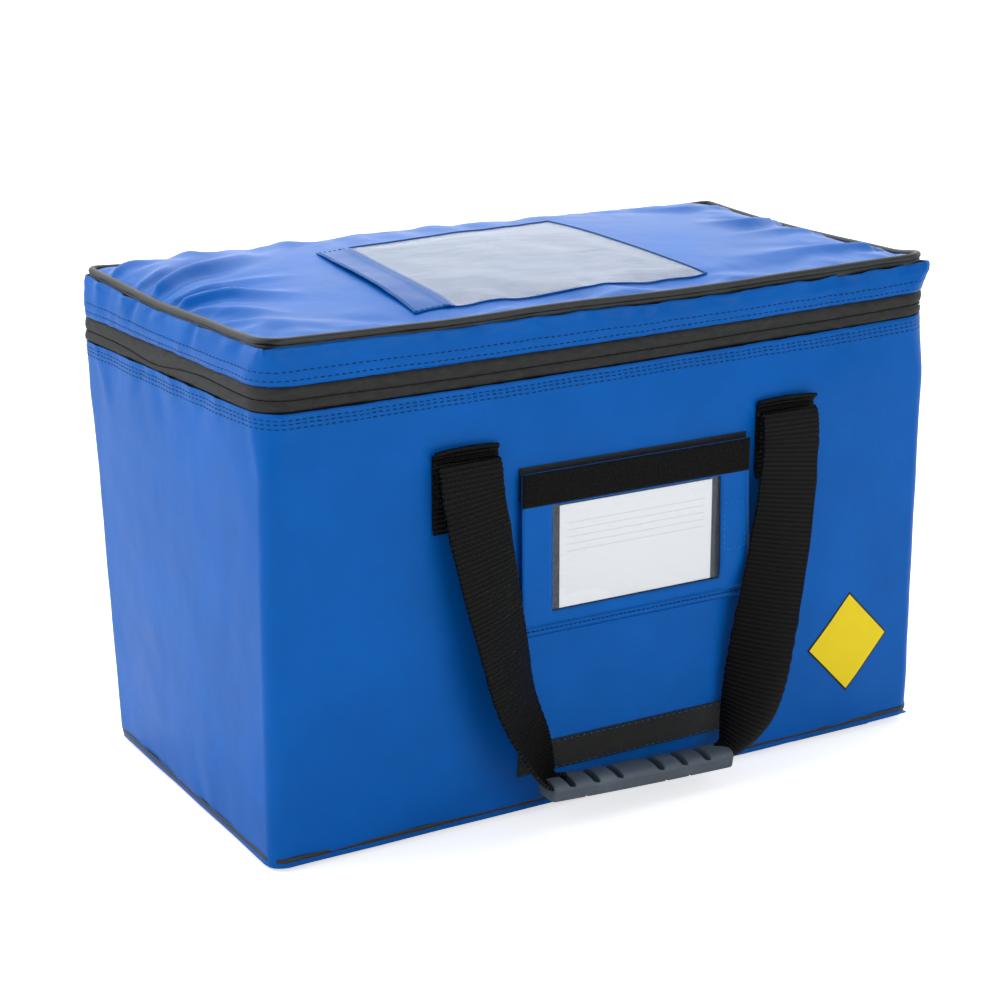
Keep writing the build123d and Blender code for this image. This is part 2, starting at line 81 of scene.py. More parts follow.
class Value:
    """A number socket that Python's operators work on."""

    def __init__(self, paint: "Paint", socket: bpy.types.NodeSocket) -> None:
        """Keeps the socket and the material that it belongs to."""
        self.paint = paint
        self.socket = socket

    def maths(self, operation: str, *others: "float | Value") -> "Value":
        """Runs one Math node on this value and others.

        Args:
            operation: The Math node's operation.
            others: Further operands, numbers or values.

        Returns:
            The node's result.
        """
        return self.paint.node("ShaderNodeMath", {"operation": operation}, dict(enumerate((self, *others))))

    def __add__(self, other: "float | Value") -> "Value":
        """Sum."""
        return self.maths("ADD", other)

    __radd__ = __add__

    def __mul__(self, other: "float | Value") -> "Value":
        """Product."""
        return self.maths("MULTIPLY", other)

    __rmul__ = __mul__

    def __sub__(self, other: "float | Value") -> "Value":
        """Difference."""
        return self.maths("SUBTRACT", other)

    def __rsub__(self, other: float) -> "Value":
        """Difference from a number."""
        return (self * -1.0) + other

    def sine(self) -> "Value":
        """Sine, the value in radians."""
        return self.maths("SINE")

    def size(self) -> "Value":
        """The value without its sign."""
        return self.maths("ABSOLUTE")

    def between(self, low: float, high: float) -> "Value":
        """Rises smoothly from 0 at low to 1 at high."""
        inputs = {"Value": self, "From Min": low, "From Max": high}
        return self.paint.node("ShaderNodeMapRange", {"interpolation_type": "SMOOTHSTEP"}, inputs)

    def wave(self, pitch: float) -> "Value":
        """Sine of the value, in metres, that repeats at this pitch."""
        return (self * (2 * math.pi / pitch)).sine()


class Paint:
    """The node tree of a material or of the world, built by a single node-making method."""

    def __init__(self, name: str, kind: Tree = Tree.MATERIAL) -> None:
        """Starts an empty tree."""
        self.kind = kind
        self.owner = (bpy.data.materials if kind is Tree.MATERIAL else bpy.data.worlds).new(name)
        self.owner.use_nodes = True
        self.tree = self.owner.node_tree
        self.tree.nodes.clear()

    def node(self, kind: str, settings: Optional[dict] = None, inputs: Optional[dict] = None,
             output: "int | str" = 0) -> Value:
        """Adds a node.

        Args:
            kind: The node's type.
            settings: Its own settings, set before its sockets.
            inputs: Values or links of its sockets, by name or number.
            output: The output that is handed back.

        Returns:
            The chosen output, wrapped.
        """
        made = self.tree.nodes.new(kind)
        for key, value in (settings or {}).items():
            setattr(made, key, value)
        for key, value in (inputs or {}).items():
            self.feed(made.inputs[key], value)
        return Value(self, made.outputs[output])

    def feed(self, socket: bpy.types.NodeSocket, value: "float | tuple | Value") -> None:
        """Links a value to a socket, or sets the socket to a number, vector or colour."""
        if isinstance(value, Value):
            self.tree.links.new(value.socket, socket)
        elif socket.type == "RGBA":
            socket.default_value = (*value, 1.0)
        else:
            socket.default_value = value

    def place(self) -> Value:
        """Object coordinates, in metres."""
        return self.node("ShaderNodeTexCoord", output="Object")

    def uv(self) -> Value:
        """The piece's own map, in metres along the cloth."""
        return self.node("ShaderNodeTexCoord", output="UV")

    def seen_by(self, ray: str) -> Value:
        """One for this kind of ray, else 0."""
        return self.node("ShaderNodeLightPath", output=f"Is {ray} Ray")

    def split(self, vector: Value) -> tuple[Value, Value, Value]:
        """The three numbers of a vector."""
        parts = self.node("ShaderNodeSeparateXYZ", inputs={0: vector})
        outputs = parts.socket.node.outputs
        return tuple(Value(self, outputs[i]) for i in range(3))

    def noise(self, vector: Value, scale: float, detail: float = 2.0, rough: float = 0.5) -> Value:
        """Fractal noise, about 0 to 1."""
        inputs = {"Vector": vector, "Scale": scale, "Detail": detail, "Roughness": rough}
        return self.node("ShaderNodeTexNoise", None, inputs)

    def stretch(self, vector: Value, scale: tuple[float, float, float], turn: float = 0.0) -> Value:
        """The vector scaled and turned about Z."""
        inputs = {"Vector": vector, "Scale": scale, "Rotation": (0.0, 0.0, turn)}
        return self.node("ShaderNodeMapping", None, inputs)

    def blend(self, factor: "float | Value", first: "tuple | Value", second: "tuple | Value") -> Value:
        """A colour between two colours.

        Args:
            factor: Share of the second colour.
            first: First colour.
            second: Second colour.

        Returns:
            The colour.
        """
        mix = self.node("ShaderNodeMix", {"data_type": "RGBA"}).socket.node
        for name, value in {"Factor": factor, "A": first, "B": second}.items():
            self.feed(next(s for s in mix.inputs if s.name == name and s.enabled), value)
        return Value(self, next(s for s in mix.outputs if s.enabled))

    def bump(self, height: Value, strength: float, distance: float, under: Optional[Value] = None) -> Value:
        """A bumped normal from a height that is in parts of the distance.

        Args:
            height: Height of the relief.
            strength: Strength of the bump.
            distance: Height that 1 stands for, in metres.
            under: A normal that the relief is added to.

        Returns:
            The normal.
        """
        inputs = {"Height": height, "Strength": strength, "Distance": distance}
        if under is not None:
            inputs["Normal"] = under
        return self.node("ShaderNodeBump", None, inputs)

    def surface(self, **sockets: "float | tuple | Value") -> Material:
        """Ends the tree with a Principled shader; underscores in names stand for spaces."""
        inputs = {name.replace("_", " "): value for name, value in sockets.items()}
        self.end(self.node("ShaderNodeBsdfPrincipled", None, inputs))
        return self.owner

    def end(self, shader: Value) -> None:
        """Links a shader to the tree's output."""
        made = self.tree.nodes.new(self.kind.value)
        self.feed(made.inputs["Surface"], shader)


# Finishes

@dataclass(frozen=True)
class CoatedCloth:
    """Scrim cloth with a smooth coloured coating.

    Args:
        name: Material name.
        colour: Base colour, linear.
        roughness: Roughness of the coating.
        sheer: How strongly the scrim shows through.
    """

    name: str
    colour: tuple[float, float, float]
    roughness: float = 0.36
    sheer: float = 1.0

    def make(self) -> Material:
        """Builds the material."""
        paint = Paint(self.name)
        uv = paint.uv()
        u, v, _ = paint.split(uv)
        warp = (u * 4200.0 + v * 1800.0).sine()
        weft = (v * 4200.0 - u * 1800.0).sine()
        scrim = (warp * weft) * 0.5 + 0.5
        grain = paint.noise(uv, 900.0, 3.0)
        worn = paint.noise(uv, 14.0, 4.0, 0.6)
        fine = paint.bump(scrim * 0.7 + grain * 0.5, 0.22 * self.sheer, 0.0003)
        dents = paint.bump(paint.noise(uv, 46.0, 2.0), 0.1, 0.004, fine)
        darker = tuple(c * 0.86 for c in self.colour)
        colour = paint.blend(worn.between(0.3, 0.75), darker, self.colour)
        rough = worn * 0.1 + (self.roughness - 0.05)
        return paint.surface(Base_Color=colour, Roughness=rough, Normal=dents, IOR=1.5,
                             Specular_IOR_Level=0.11)


@dataclass(frozen=True)
class Webbing:
    """Ribbed black webbing: ribs across it, each broken into slanting nubs."""

    name: str = "black_webbing"
    rib: float = 0.0028
    nub: float = 0.0014

    def make(self) -> Material:
        """Builds the material."""
        paint = Paint(self.name)
        uv = paint.uv()
        u, v, _ = paint.split(uv)
        ribs = v.wave(self.rib) * 0.5 + 0.5
        slant = (u + v * 0.35).wave(self.nub) * 0.5 + 0.5
        fluff = paint.noise(uv, 2600.0, 2.0)
        height = ribs * (slant * 0.75 + 0.25)
        normal = paint.bump(height * 0.9 + fluff * 0.1, 1.0, 0.0016)
        # Painted highlight and shade: the colour follows the relief, near-black in the gaps between the nubs
        # and lighter on their tops.
        colour = paint.blend(height.between(0.3, 0.95), (0.0002, 0.0002, 0.0002), (0.024, 0.0225, 0.02))
        return paint.surface(Base_Color=colour, Roughness=0.5, Normal=normal, Specular_IOR_Level=0.14)


class Nap(Enum):
    """The two kinds of hook-and-loop tape."""

    LOOP = "loop_tape"
    HOOK = "hook_tape"


@dataclass(frozen=True)
class Fastener:
    """Hook-and-loop tape, either its fuzzy or its hooked side."""

    nap: Nap

    def make(self) -> Material:
        """Builds the material."""
        paint = Paint(self.nap.value)
        uv = paint.uv()
        u, v, _ = paint.split(uv)
        if self.nap is Nap.LOOP:
            clumps = paint.noise(uv, 700.0, 4.0, 0.7)
            lint = paint.noise(paint.stretch(uv, (1.0, 4.0, 1.0), 0.6), 330.0, 2.0, 0.8).between(0.62, 0.78)
            normal = paint.bump(clumps, 1.0, 0.0012)
            # Painted highlight and shade: the colour follows the clumps, darker in the dips between them and
            # lighter on their tops.
            colour = paint.blend(clumps.between(0.35, 0.75), (0.003, 0.003, 0.0034), (0.014, 0.0135, 0.014))
            colour = paint.blend(lint * 0.25, colour, (0.05, 0.05, 0.05))
            return paint.surface(Base_Color=colour, Roughness=0.9, Normal=normal, Sheen_Weight=0.05,
                                 Sheen_Roughness=0.4, Specular_IOR_Level=0.1)
        rows = (u + v * 0.5).wave(0.0016) * (v - u * 0.2).wave(0.0018)
        hooks = rows * 0.5 + 0.5
        jitter = paint.noise(uv, 1500.0, 2.0)
        height = hooks * 0.7 + jitter * 0.5
        normal = paint.bump(height, 0.9, 0.001)
        # Painted highlight and shade: the colour follows the hooks' relief, near-black between them and lighter
        # on their tops.
        colour = paint.blend(height.between(0.5, 1.1), (0.003, 0.003, 0.003), (0.05, 0.048, 0.044))
        return paint.surface(Base_Color=colour, Roughness=0.5, Normal=normal, Specular_IOR_Level=0.4)


@dataclass(frozen=True)
class ZipTape:
    """Matt woven zip tape."""

    name: str = "zip_tape"

    def make(self) -> Material:
        """Builds the material."""
        paint = Paint(self.name)
        uv = paint.uv()
        u, v, _ = paint.split(uv)
        weave = u.wave(0.0011) * v.wave(0.0013) * 0.5 + 0.5
        dust = paint.noise(paint.stretch(uv, (1.0, 3.0, 1.0)), 120.0, 5.0, 0.7)
        normal = paint.bump(weave, 0.35, 0.0004)
        colour = paint.blend(dust.between(0.3, 0.8), (0.02, 0.0195, 0.019), (0.04, 0.039, 0.037))
        return paint.surface(Base_Color=colour, Roughness=0.62, Normal=normal, Specular_IOR_Level=0.22)


@dataclass(frozen=True)
class Moulded:
    """Moulded plastic or rubber with a fine grain."""

    name: str
    colour: tuple[float, float, float]
    roughness: float = 0.5
    grain: float = 0.3

    def make(self) -> Material:
        """Builds the material."""
        paint = Paint(self.name)
        place = paint.place()
        fine = paint.noise(place, 1400.0, 2.0)
        rubbed = paint.noise(place, 55.0, 4.0, 0.6)
        normal = paint.bump(fine, self.grain, 0.0002)
        lighter = tuple(c * 1.5 + 0.004 for c in self.colour)
        colour = paint.blend(rubbed.between(0.45, 0.8), self.colour, lighter)
        rough = rubbed * 0.15 + (self.roughness - 0.07)
        return paint.surface(Base_Color=colour, Roughness=rough, Normal=normal)


@dataclass(frozen=True)
class Foil:
    """Wipe-clean pale lining with a faint quilt of creases."""

    name: str = "pale_lining"

    def make(self) -> Material:
        """Builds the material."""
        paint = Paint(self.name)
        place = paint.place()
        creases = paint.noise(place, 60.0, 4.0, 0.6)
        fine = paint.noise(place, 500.0, 2.0)
        normal = paint.bump(creases * 0.8 + fine * 0.2, 0.4, 0.002)
        # Painted shade: the colour follows the creases, darker in their dips.
        colour = paint.blend(creases, (0.6, 0.61, 0.62), (0.72, 0.73, 0.74))
        return paint.surface(Base_Color=colour, Roughness=0.35, Normal=normal, Metallic=0.25)


@dataclass(frozen=True)
class ClearFilm:
    """Clear plastic film, slightly hazy."""

    name: str
    alpha: float
    colour: tuple[float, float, float] = (0.55, 0.6, 0.68)
    roughness: float = 0.12
    ripple: float = 0.35

    def make(self) -> Material:
        """Builds the material."""
        paint = Paint(self.name)
        uv = paint.uv()
        waves = paint.noise(paint.stretch(uv, (1.0, 2.2, 1.0), 0.5), 30.0, 3.0, 0.5)
        scratches = paint.noise(paint.stretch(uv, (1.0, 9.0, 1.0), 0.3), 160.0, 3.0, 0.7)
        normal = paint.bump(waves, self.ripple, 0.003)
        haze = scratches.between(0.55, 0.85) * 0.12 + self.alpha
        return paint.surface(Base_Color=self.colour, Roughness=self.roughness, Alpha=haze, Normal=normal,
                             Coat_Weight=0.6, Coat_Roughness=0.05, Specular_IOR_Level=0.3)


@dataclass(frozen=True)
class Thread:
    """Twisted sewing thread."""

    name: str
    colour: tuple[float, float, float]

    def make(self) -> Material:
        """Builds the material."""
        paint = Paint(self.name)
        twist = paint.noise(paint.place(), 2500.0, 1.0)
        normal = paint.bump(twist, 0.6, 0.0004)
        # Painted shade: the colour follows the twist, darker in its grooves.
        colour = paint.blend(twist, tuple(c * 0.6 for c in self.colour), self.colour)
        return paint.surface(Base_Color=colour, Roughness=0.6, Normal=normal, Specular_IOR_Level=0.2)


@dataclass(frozen=True)
class Metal:
    """Plated metal, lightly brushed."""

    name: str
    colour: tuple[float, float, float]
    roughness: float = 0.3

    def make(self) -> Material:
        """Builds the material."""
        paint = Paint(self.name)
        brushed = paint.noise(paint.stretch(paint.place(), (1.0, 9.0, 1.0)), 500.0, 3.0)
        normal = paint.bump(brushed, 0.15, 0.0002)
        return paint.surface(Base_Color=self.colour, Metallic=1.0, Normal=normal,
                             Roughness=brushed * 0.2 + (self.roughness - 0.1))


@dataclass(frozen=True)
class RuledCard:
    """White card with faint ruled lines."""

    name: str = "ruled_card"
    first: float = 0.1795
    pitch: float = 0.0043
    lines: int = 5
    left: float = -0.045
    right: float = 0.052

    def make(self) -> Material:
        """Builds the material."""
        paint = Paint(self.name)
        x, _, z = paint.split(paint.place())
        line: "Value | float" = 0.0
        for i in range(self.lines):
            height = self.first - i * self.pitch
            stroke = 1.0 - (z - height).size().between(0.00012, 0.0004)
            line = stroke + line
        inside = x.between(self.left, self.left + 0.0005) * (1.0 - x.between(self.right, self.right + 0.0005))
        fibre = paint.noise(paint.place(), 900.0, 3.0)
        white = paint.blend(fibre, (0.96, 0.97, 0.98), (0.98, 0.98, 0.98))
        colour = paint.blend(line * inside * 0.3, white, (0.35, 0.36, 0.37))
        return paint.surface(Base_Color=colour, Roughness=0.55, Normal=paint.bump(fibre, 0.1, 0.0002))


@dataclass(frozen=True)
class DiamondPrint:
    """Yellow print with a thin dark edge, read from the piece's own map."""

    name: str = "diamond_print"
    edge: float = 0.0011
    half: float = 0.0235

    def make(self) -> Material:
        """Builds the material."""
        paint = Paint(self.name)
        uv = paint.uv()
        u, v, _ = paint.split(uv)
        reach = u.size().maths("MAXIMUM", v.size())
        rim = reach.between(self.half - self.edge - 0.0001, self.half - self.edge + 0.0001)
        wear = paint.noise(uv, 90.0, 4.0, 0.6)
        yellow = paint.blend(wear, (0.98, 0.71, 0.004), (1.0, 0.77, 0.008))
        colour = paint.blend(rim, yellow, (0.012, 0.012, 0.008))
        normal = paint.bump(paint.noise(uv, 900.0, 2.0), 0.12, 0.0002)
        return paint.surface(Base_Color=colour, Roughness=0.38, Normal=normal, Specular_IOR_Level=0.2)


class Finishes:
    """Every finish of the bag, made once and shared."""

    def __init__(self) -> None:
        """Makes the materials."""
        blue = (0.0, 0.124, 0.51)
        self.cloth = CoatedCloth("blue_coated_cloth", blue).make()
        self.flap_cloth = CoatedCloth("blue_flap_cloth", (0.0, 0.128, 0.52), 0.3).make()
        self.film_edge = CoatedCloth("blue_edge_cloth", (0.0, 0.098, 0.4), 0.34).make()
        self.webbing = Webbing().make()
        self.loop = Fastener(Nap.LOOP).make()
        self.hook = Fastener(Nap.HOOK).make()
        self.zip_tape = ZipTape().make()
        self.chain = Moulded("zip_chain", (0.01, 0.01, 0.01), 0.4).make()
        self.piping = Moulded("black_piping", (0.013, 0.013, 0.012), 0.48, 0.5).make()
        self.grip = Moulded("grip_moulding", (0.078, 0.1, 0.124), 0.52, 0.4).make()
        self.skid = Moulded("skid_rubber", (0.012, 0.012, 0.012), 0.55, 0.6).make()
        self.board = Moulded("stiffener_board", (0.05, 0.05, 0.05), 0.7).make()
        self.foam = Moulded("insulation_foam", (0.62, 0.62, 0.6), 0.9, 0.8).make()
        self.lining = Foil().make()
        self.pocket_film = ClearFilm("pocket_film", 0.4, (0.34, 0.375, 0.43), 0.24, 0.7).make()
        self.window_film = ClearFilm("window_film", 0.03, (0.7, 0.75, 0.8), 0.06, 0.9).make()
        self.tray = Moulded("pocket_backing", (0.01, 0.014, 0.03), 0.18, 0.2).make()
        self.thread = Thread("dark_thread", (0.0, 0.04, 0.1)).make()
        self.bright_thread = Thread("bright_thread", (0.01, 0.25, 0.6)).make()
        self.metal = Metal("slider_metal", (0.28, 0.28, 0.29), 0.32).make()
        self.card = RuledCard().make()
        self.diamond = DiamondPrint().make()


# Mesh making

def smooth(edge0: float, edge1: float, value: "float | Points") -> Points:
    """Rises smoothly from 0 at edge0 to 1 at edge1."""
    t = np.clip((np.asarray(value, float) - edge0) / (edge1 - edge0), 0.0, 1.0)
    return t * t * (3 - 2 * t)


def ripple(x: Points, y: "Points | float", seed: float, scale: float) -> Points:
    """Smooth noise from about -1 to 1 over two coordinates in metres.

    Args:
        x: First coordinate.
        y: Second coordinate.
        seed: Offset that makes each use different.
        scale: Repeats in a metre.

    Returns:
        The noise at each place.
    """
    a, b = np.broadcast_arrays(np.asarray(x, float), np.asarray(y, float))
    flat = [noise.noise(Vector((p * scale, q * scale, seed))) for p, q in zip(a.ravel(), b.ravel())]
    return np.array(flat).reshape(a.shape)


def curve_through(stations: Sequence[Sequence[float]], count: int) -> Points:
    """Catmull-Rom curve through rows of numbers, evenly divided by row.

    Args:
        stations: Rows of numbers that the curve passes through.
        count: How many rows are handed back.

    Returns:
        The interpolated rows.
    """
    rows = np.array(stations, float)
    padded = np.vstack([2 * rows[0] - rows[1], rows, 2 * rows[-1] - rows[-2]])
    made = []
    for place in np.linspace(0, len(rows) - 1, count):
        i = min(int(place), len(rows) - 2)
        t = place - i
        a, b, c, d = padded[i:i + 4]
        made.append(0.5 * (2 * b + (c - a) * t + (2 * a - 5 * b + 4 * c - d) * t * t
                           + (3 * b - a - 3 * c + d) * t ** 3))
    return np.array(made)


def eased(stops: Sequence[Sequence[float]], value: "float | Points") -> Points:
    """Smooth curve through (place, height) stops, kept at its own heights at both ends.

    Args:
        stops: Places and heights, sorted by place.
        value: Where it is read.

    Returns:
        Heights.
    """
    table = curve_through(stops, 12 * len(stops))
    return np.interp(value, table[:, 0], table[:, 1])


def only(piece: Piece) -> None:
    """Makes a piece the only selected and active one."""
    bpy.ops.object.select_all(action="DESELECT")
    piece.select_set(True)
    bpy.context.view_layer.objects.active = piece


def apply_modifier(piece: Piece, kind: str, **settings: object) -> None:
    """Adds a modifier with these settings and applies it."""
    only(piece)
    modifier = piece.modifiers.new(kind.lower(), kind)
    for key, value in settings.items():
        setattr(modifier, key, value)
    bpy.ops.object.modifier_apply(modifier=modifier.name)


def edit(piece: Piece, operation: Callable[[], object]) -> None:
    """Runs one operator of edit mode on the whole of a piece."""
    only(piece)
    bpy.ops.object.mode_set(mode="EDIT")
    bpy.ops.mesh.select_all(action="SELECT")
    operation()
    bpy.ops.object.mode_set(mode="OBJECT")


def paint_mesh(mesh: bpy.types.Mesh, material: Material) -> None:
    """Makes a material a mesh's only one."""
    mesh.materials.clear()
    mesh.materials.append(material)


def dress(piece: Piece, material: Material, shade: bool = True) -> None:
    """Gives a piece its material and smooth shading."""
    paint_mesh(piece.data, material)
    if shade:
        piece.data.polygons.foreach_set("use_smooth", [True] * len(piece.data.polygons))


def hang(piece: Piece, material: Material, body: str, *nodes: str,
         thick: Optional[float] = None, slot: str = "", shade: bool = True) -> None:
    """Thickens and dresses a piece, parents it to its body's empty and hides the solids that it replaces.

    Args:
        piece: The piece.
        material: Its material.
        body: The body that it moves with.
        nodes: The solids that it replaces.
        thick: Thickness of a sheet, laid on its inner side.
        slot: Not used.
        shade: Whether it is shaded smooth.
    """
    if thick is not None:
        apply_modifier(piece, "SOLIDIFY", thickness=thick, offset=-1.0)
    dress(piece, material, shade)
    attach(piece, body)
    if nodes:
        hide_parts(*nodes)


def mesh_piece(name: str, verts: Points, faces: Sequence[Sequence[int]],
               uv: Optional[Points] = None) -> Piece:
    """Makes an object from points and faces.

    Args:
        name: Name of the piece.
        verts: Points, one a row.
        faces: Faces as lists of point numbers.
        uv: Map coordinates of each point.

    Returns:
        The new object.
    """
    mesh = bpy.data.meshes.new(name)
    mesh.from_pydata(np.asarray(verts, float).tolist(), [], [[int(i) for i in face] for face in faces])
    if uv is not None:
        layer = mesh.uv_layers.new(name="UVMap")
        loops = np.empty(len(mesh.loops), np.int32)
        mesh.loops.foreach_get("vertex_index", loops)
        layer.data.foreach_set("uv", np.asarray(uv, np.float32)[loops].ravel())
    mesh.validate()
    piece = bpy.data.objects.new(name, mesh)
    bpy.context.scene.collection.objects.link(piece)
    return piece


def sheet_piece(name: str, points: Points, uv: Points, closed: bool = False,
                hole: Optional[Callable[[int, int], bool]] = None, flip: bool = False) -> Piece:
    """Makes a sheet from a grid of points.

    Args:
        name: Name of the piece.
        points: Grid of points, rows by columns by 3.
        uv: Grid of map coordinates, rows by columns by 2.
        closed: Whether the last column joins the first.
        hole: Tells the cells that are left out, by row and column.
        flip: Turns the faces round.

    Returns:
        The new object.
    """
    rows, cols = points.shape[:2]
    faces = []
    for i in range(rows - 1):
        for j in range(cols if closed else cols - 1):
            if hole and hole(i, j):
                continue
            k = (j + 1) % cols
            face = [i * cols + j, i * cols + k, (i + 1) * cols + k, (i + 1) * cols + j]
            faces.append(face[::-1] if flip else face)
    piece = mesh_piece(name, points.reshape(-1, 3), faces, uv.reshape(-1, 2))
    if hole:
        edit(piece, bpy.ops.mesh.delete_loose)
    return piece


def distances(path: Points) -> Points:
    """Distance run along a path at each of its points."""
    return np.concatenate([[0], np.cumsum(np.linalg.norm(np.diff(path, axis=0), axis=1))])


def sample(rows: Points, run: Points, place: float) -> Points:
    """Rows of three numbers, read at a distance run."""
    return np.array([np.interp(place, run, rows[:, k]) for k in range(3)])


def stitches(path: Points, outward: Points, length: float = 0.003, pitch: float = 0.0042,
             radius: float = 0.00038) -> Shell:
    """Thread stitches along a path, as points and faces.

    Args:
        path: Points that the row follows.
        outward: Direction away from the cloth at each point.
        length: Length of a stitch.
        pitch: From one stitch to the next.
        radius: Half the thread's thickness.

    Returns:
        Points and faces of all stitches.
    """
    run = distances(path)
    verts, faces = [], []
    sides = 6
    rings = [(-0.5, 0.35), (-0.36, 0.95), (0.36, 0.95), (0.5, 0.35)]
    for n in range(int((run[-1] - length) / pitch)):
        middle = (n + 0.5) * pitch
        ends = [sample(path, run, middle + sign * length / 2) for sign in (-1, 1)]
        out = sample(outward, run, middle)
        out /= np.linalg.norm(out)
        along = ends[1] - ends[0]
        size = np.linalg.norm(along)
        if size < 1e-6:
            continue
        along /= size
        side = np.cross(out, along)
        centre = (ends[0] + ends[1]) / 2 + out * radius * 0.35
        start = len(verts)
        for share, girth in rings:
            dip = -radius * 1.3 * abs(share * 2) ** 3
            for k in range(sides):
                angle = 2 * math.pi * k / sides
                verts.append(centre + along * share * length + out * dip
                             + (side * math.cos(angle) + out * math.sin(angle)) * radius * girth)
        for first in range(start, len(verts) - sides, sides):
            faces.extend([first + k, first + m, first + sides + m, first + sides + k]
                         for k, m in ((k, (k + 1) % sides) for k in range(sides)))
        faces.append(list(range(start + sides - 1, start - 1, -1)))
        faces.append(list(range(len(verts) - sides, len(verts))))
    return np.array(verts).reshape(-1, 3), faces


def gather(name: str, parts: Iterable[Shell]) -> Piece:
    """Joins several sets of points and faces into one piece.

    Args:
        name: Name of the piece.
        parts: Points and faces of each part.

    Returns:
        The new object.
    """
    verts, faces, base = [], [], 0
    for points, polygons in parts:
        verts.append(points)
        faces.extend([[i + base for i in face] for face in polygons])
        base += len(points)
    return mesh_piece(name, np.vstack(verts), faces)


def sew(name: str, rows: Iterable[Shell], material: Material, body: str) -> None:
    """Joins rows of stitches into one piece of thread on a body."""
    hang(gather(name, rows), material, body)


def tube(points: Points, radius: "float | Points", sides: int = 12, closed: bool = True,
         up: Sequence[float] = (0, 0, 1)) -> Shell:
    """A round bar along points, as points and faces.

    Args:
        points: Its middle line.
        radius: Its radius, or one at each point.
        sides: Facets round it.
        closed: Whether it closes on itself.
        up: A direction that it never runs along.

    Returns:
        Points and faces.
    """
    count = len(points)
    ahead = np.roll(points, -1, 0) if closed else np.vstack([points[1:], 2 * points[-1:] - points[-2:-1]])
    behind = np.roll(points, 1, 0) if closed else np.vstack([2 * points[:1] - points[1:2], points[:-1]])
    tangent = ahead - behind
    tangent /= np.linalg.norm(tangent, axis=1)[:, None]
    side = np.cross(tangent, np.array(up, float))
    side /= np.linalg.norm(side, axis=1)[:, None]
    top = np.cross(side, tangent)
    radii = np.broadcast_to(np.asarray(radius, float), (count,))
    angles = np.linspace(0, 2 * math.pi, sides, endpoint=False)
    rings = (points[:, None] + radii[:, None, None] * (np.cos(angles)[None, :, None] * side[:, None]
                                                       + np.sin(angles)[None, :, None] * top[:, None]))
    faces = []
    for i in range(count if closed else count - 1):
        j = (i + 1) % count
        for k in range(sides):
            m = (k + 1) % sides
            faces.append([i * sides + k, j * sides + k, j * sides + m, i * sides + m])
    if not closed:
        faces.append([k for k in range(sides)])
        faces.append([(count - 1) * sides + k for k in range(sides - 1, -1, -1)])
    return rings.reshape(-1, 3), faces


# The bag's soft outline

@dataclass(frozen=True)
class Outline:
    """The bag seen from above, as a loop that starts at the middle of the back.

    The distance along it is 0 in the middle of the front, grows to the right and is negative to the left.
    """

    half_x: float = 0.2285
    half_y: float = 0.1205
    corner: float = 0.0125
    front_bulge: float = 0.0043
    end_bulge: float = 0.0015

    @property
    def reach(self) -> float:
        """Half the length of the loop."""
        return 2 * self.half_x + 2 * self.half_y

    def loop(self, count: int) -> Points:
        """Evenly spaced distances along the loop, with extra ones round the corners."""
        places = list(np.linspace(-self.reach, self.reach, count, endpoint=False))
        first, second = self.half_x, self.half_x + 2 * self.half_y
        for middle in (-second, -first, first, second):
            places.extend(middle + self.corner * np.linspace(-1, 1, 13))
        places = sorted(places)
        kept = [places[0]]
        for place in places[1:]:
            if place - kept[-1] > 0.0011:
                kept.append(place)
        return np.array(kept)

    def at(self, along: Points, radius: "float | Points" = 0.012) -> Surface:
        """Places and outward directions.

        Args:
            along: Distances along the loop.
            radius: Radius of the corners.

        Returns:
            Points x, y and directions x, y, one a row.
        """
        hx, hy, c = self.half_x, self.half_y, self.corner
        s = np.abs(along)
        r = np.broadcast_to(np.asarray(radius, float), s.shape)
        spot, out = np.zeros((len(s), 2)), np.zeros((len(s), 2))
        front = s <= hx - c
        end = (s >= hx + c) & (s <= hx + 2 * hy - c)
        back = s >= hx + 2 * hy + c
        spot[front] = np.c_[s[front] * (hx - r[front]) / (hx - c), np.full(front.sum(), -hy)]
        out[front] = (0, -1)
        spot[end] = np.c_[np.full(end.sum(), hx), (s[end] - hx - hy) / (hy - c) * (hy - r[end])]
        out[end] = (1, 0)
        spot[back] = np.c_[(self.reach - s[back]) * (hx - r[back]) / (hx - c), np.full(back.sum(), hy)]
        out[back] = (0, 1)
        straight = front | end | back
        for middle, depth, first in ((hx, -1, -90.0), (hx + 2 * hy, 1, 0.0)):
            turn = ~straight & (np.abs(s - middle) < c)
            angle = np.radians(first + 90.0 * (s[turn] - middle + c) / (2 * c))
            out[turn] = np.c_[np.cos(angle), np.sin(angle)]
            centre = np.c_[hx - r[turn], depth * (hy - r[turn])]
            spot[turn] = centre + r[turn, None] * out[turn]
        sign = np.where(along < 0, -1.0, 1.0)
        spot[:, 0] *= sign
        out[:, 0] *= sign
        return spot, out

    def swell(self, along: Points, height: Points) -> Points:
        """How far the padded wall stands out at a place and height.

        Args:
            along: Distances along the loop.
            height: Heights.

        Returns:
            The distances, in metres.
        """
        hx, hy = self.half_x, self.half_y
        s = np.abs(along)
        from_corner = np.minimum(np.abs(s - hx), np.abs(s - hx - 2 * hy))
        long_side = (s < hx) | (s > hx + 2 * hy)
        most = np.where(long_side, self.front_bulge, self.end_bulge)
        least = smooth(-0.02, 0.08, 0.0) ** 0.8
        across = smooth(-0.02, 0.08, from_corner - self.corner) ** 0.8 - least
        across = np.clip(across, 0, None) / (1 - least)
        low = smooth(0.0, 0.045, height)
        high = 1 - 0.8 * smooth(0.232, 0.272, height)
        return most * across * low * high


OUTLINE = Outline()

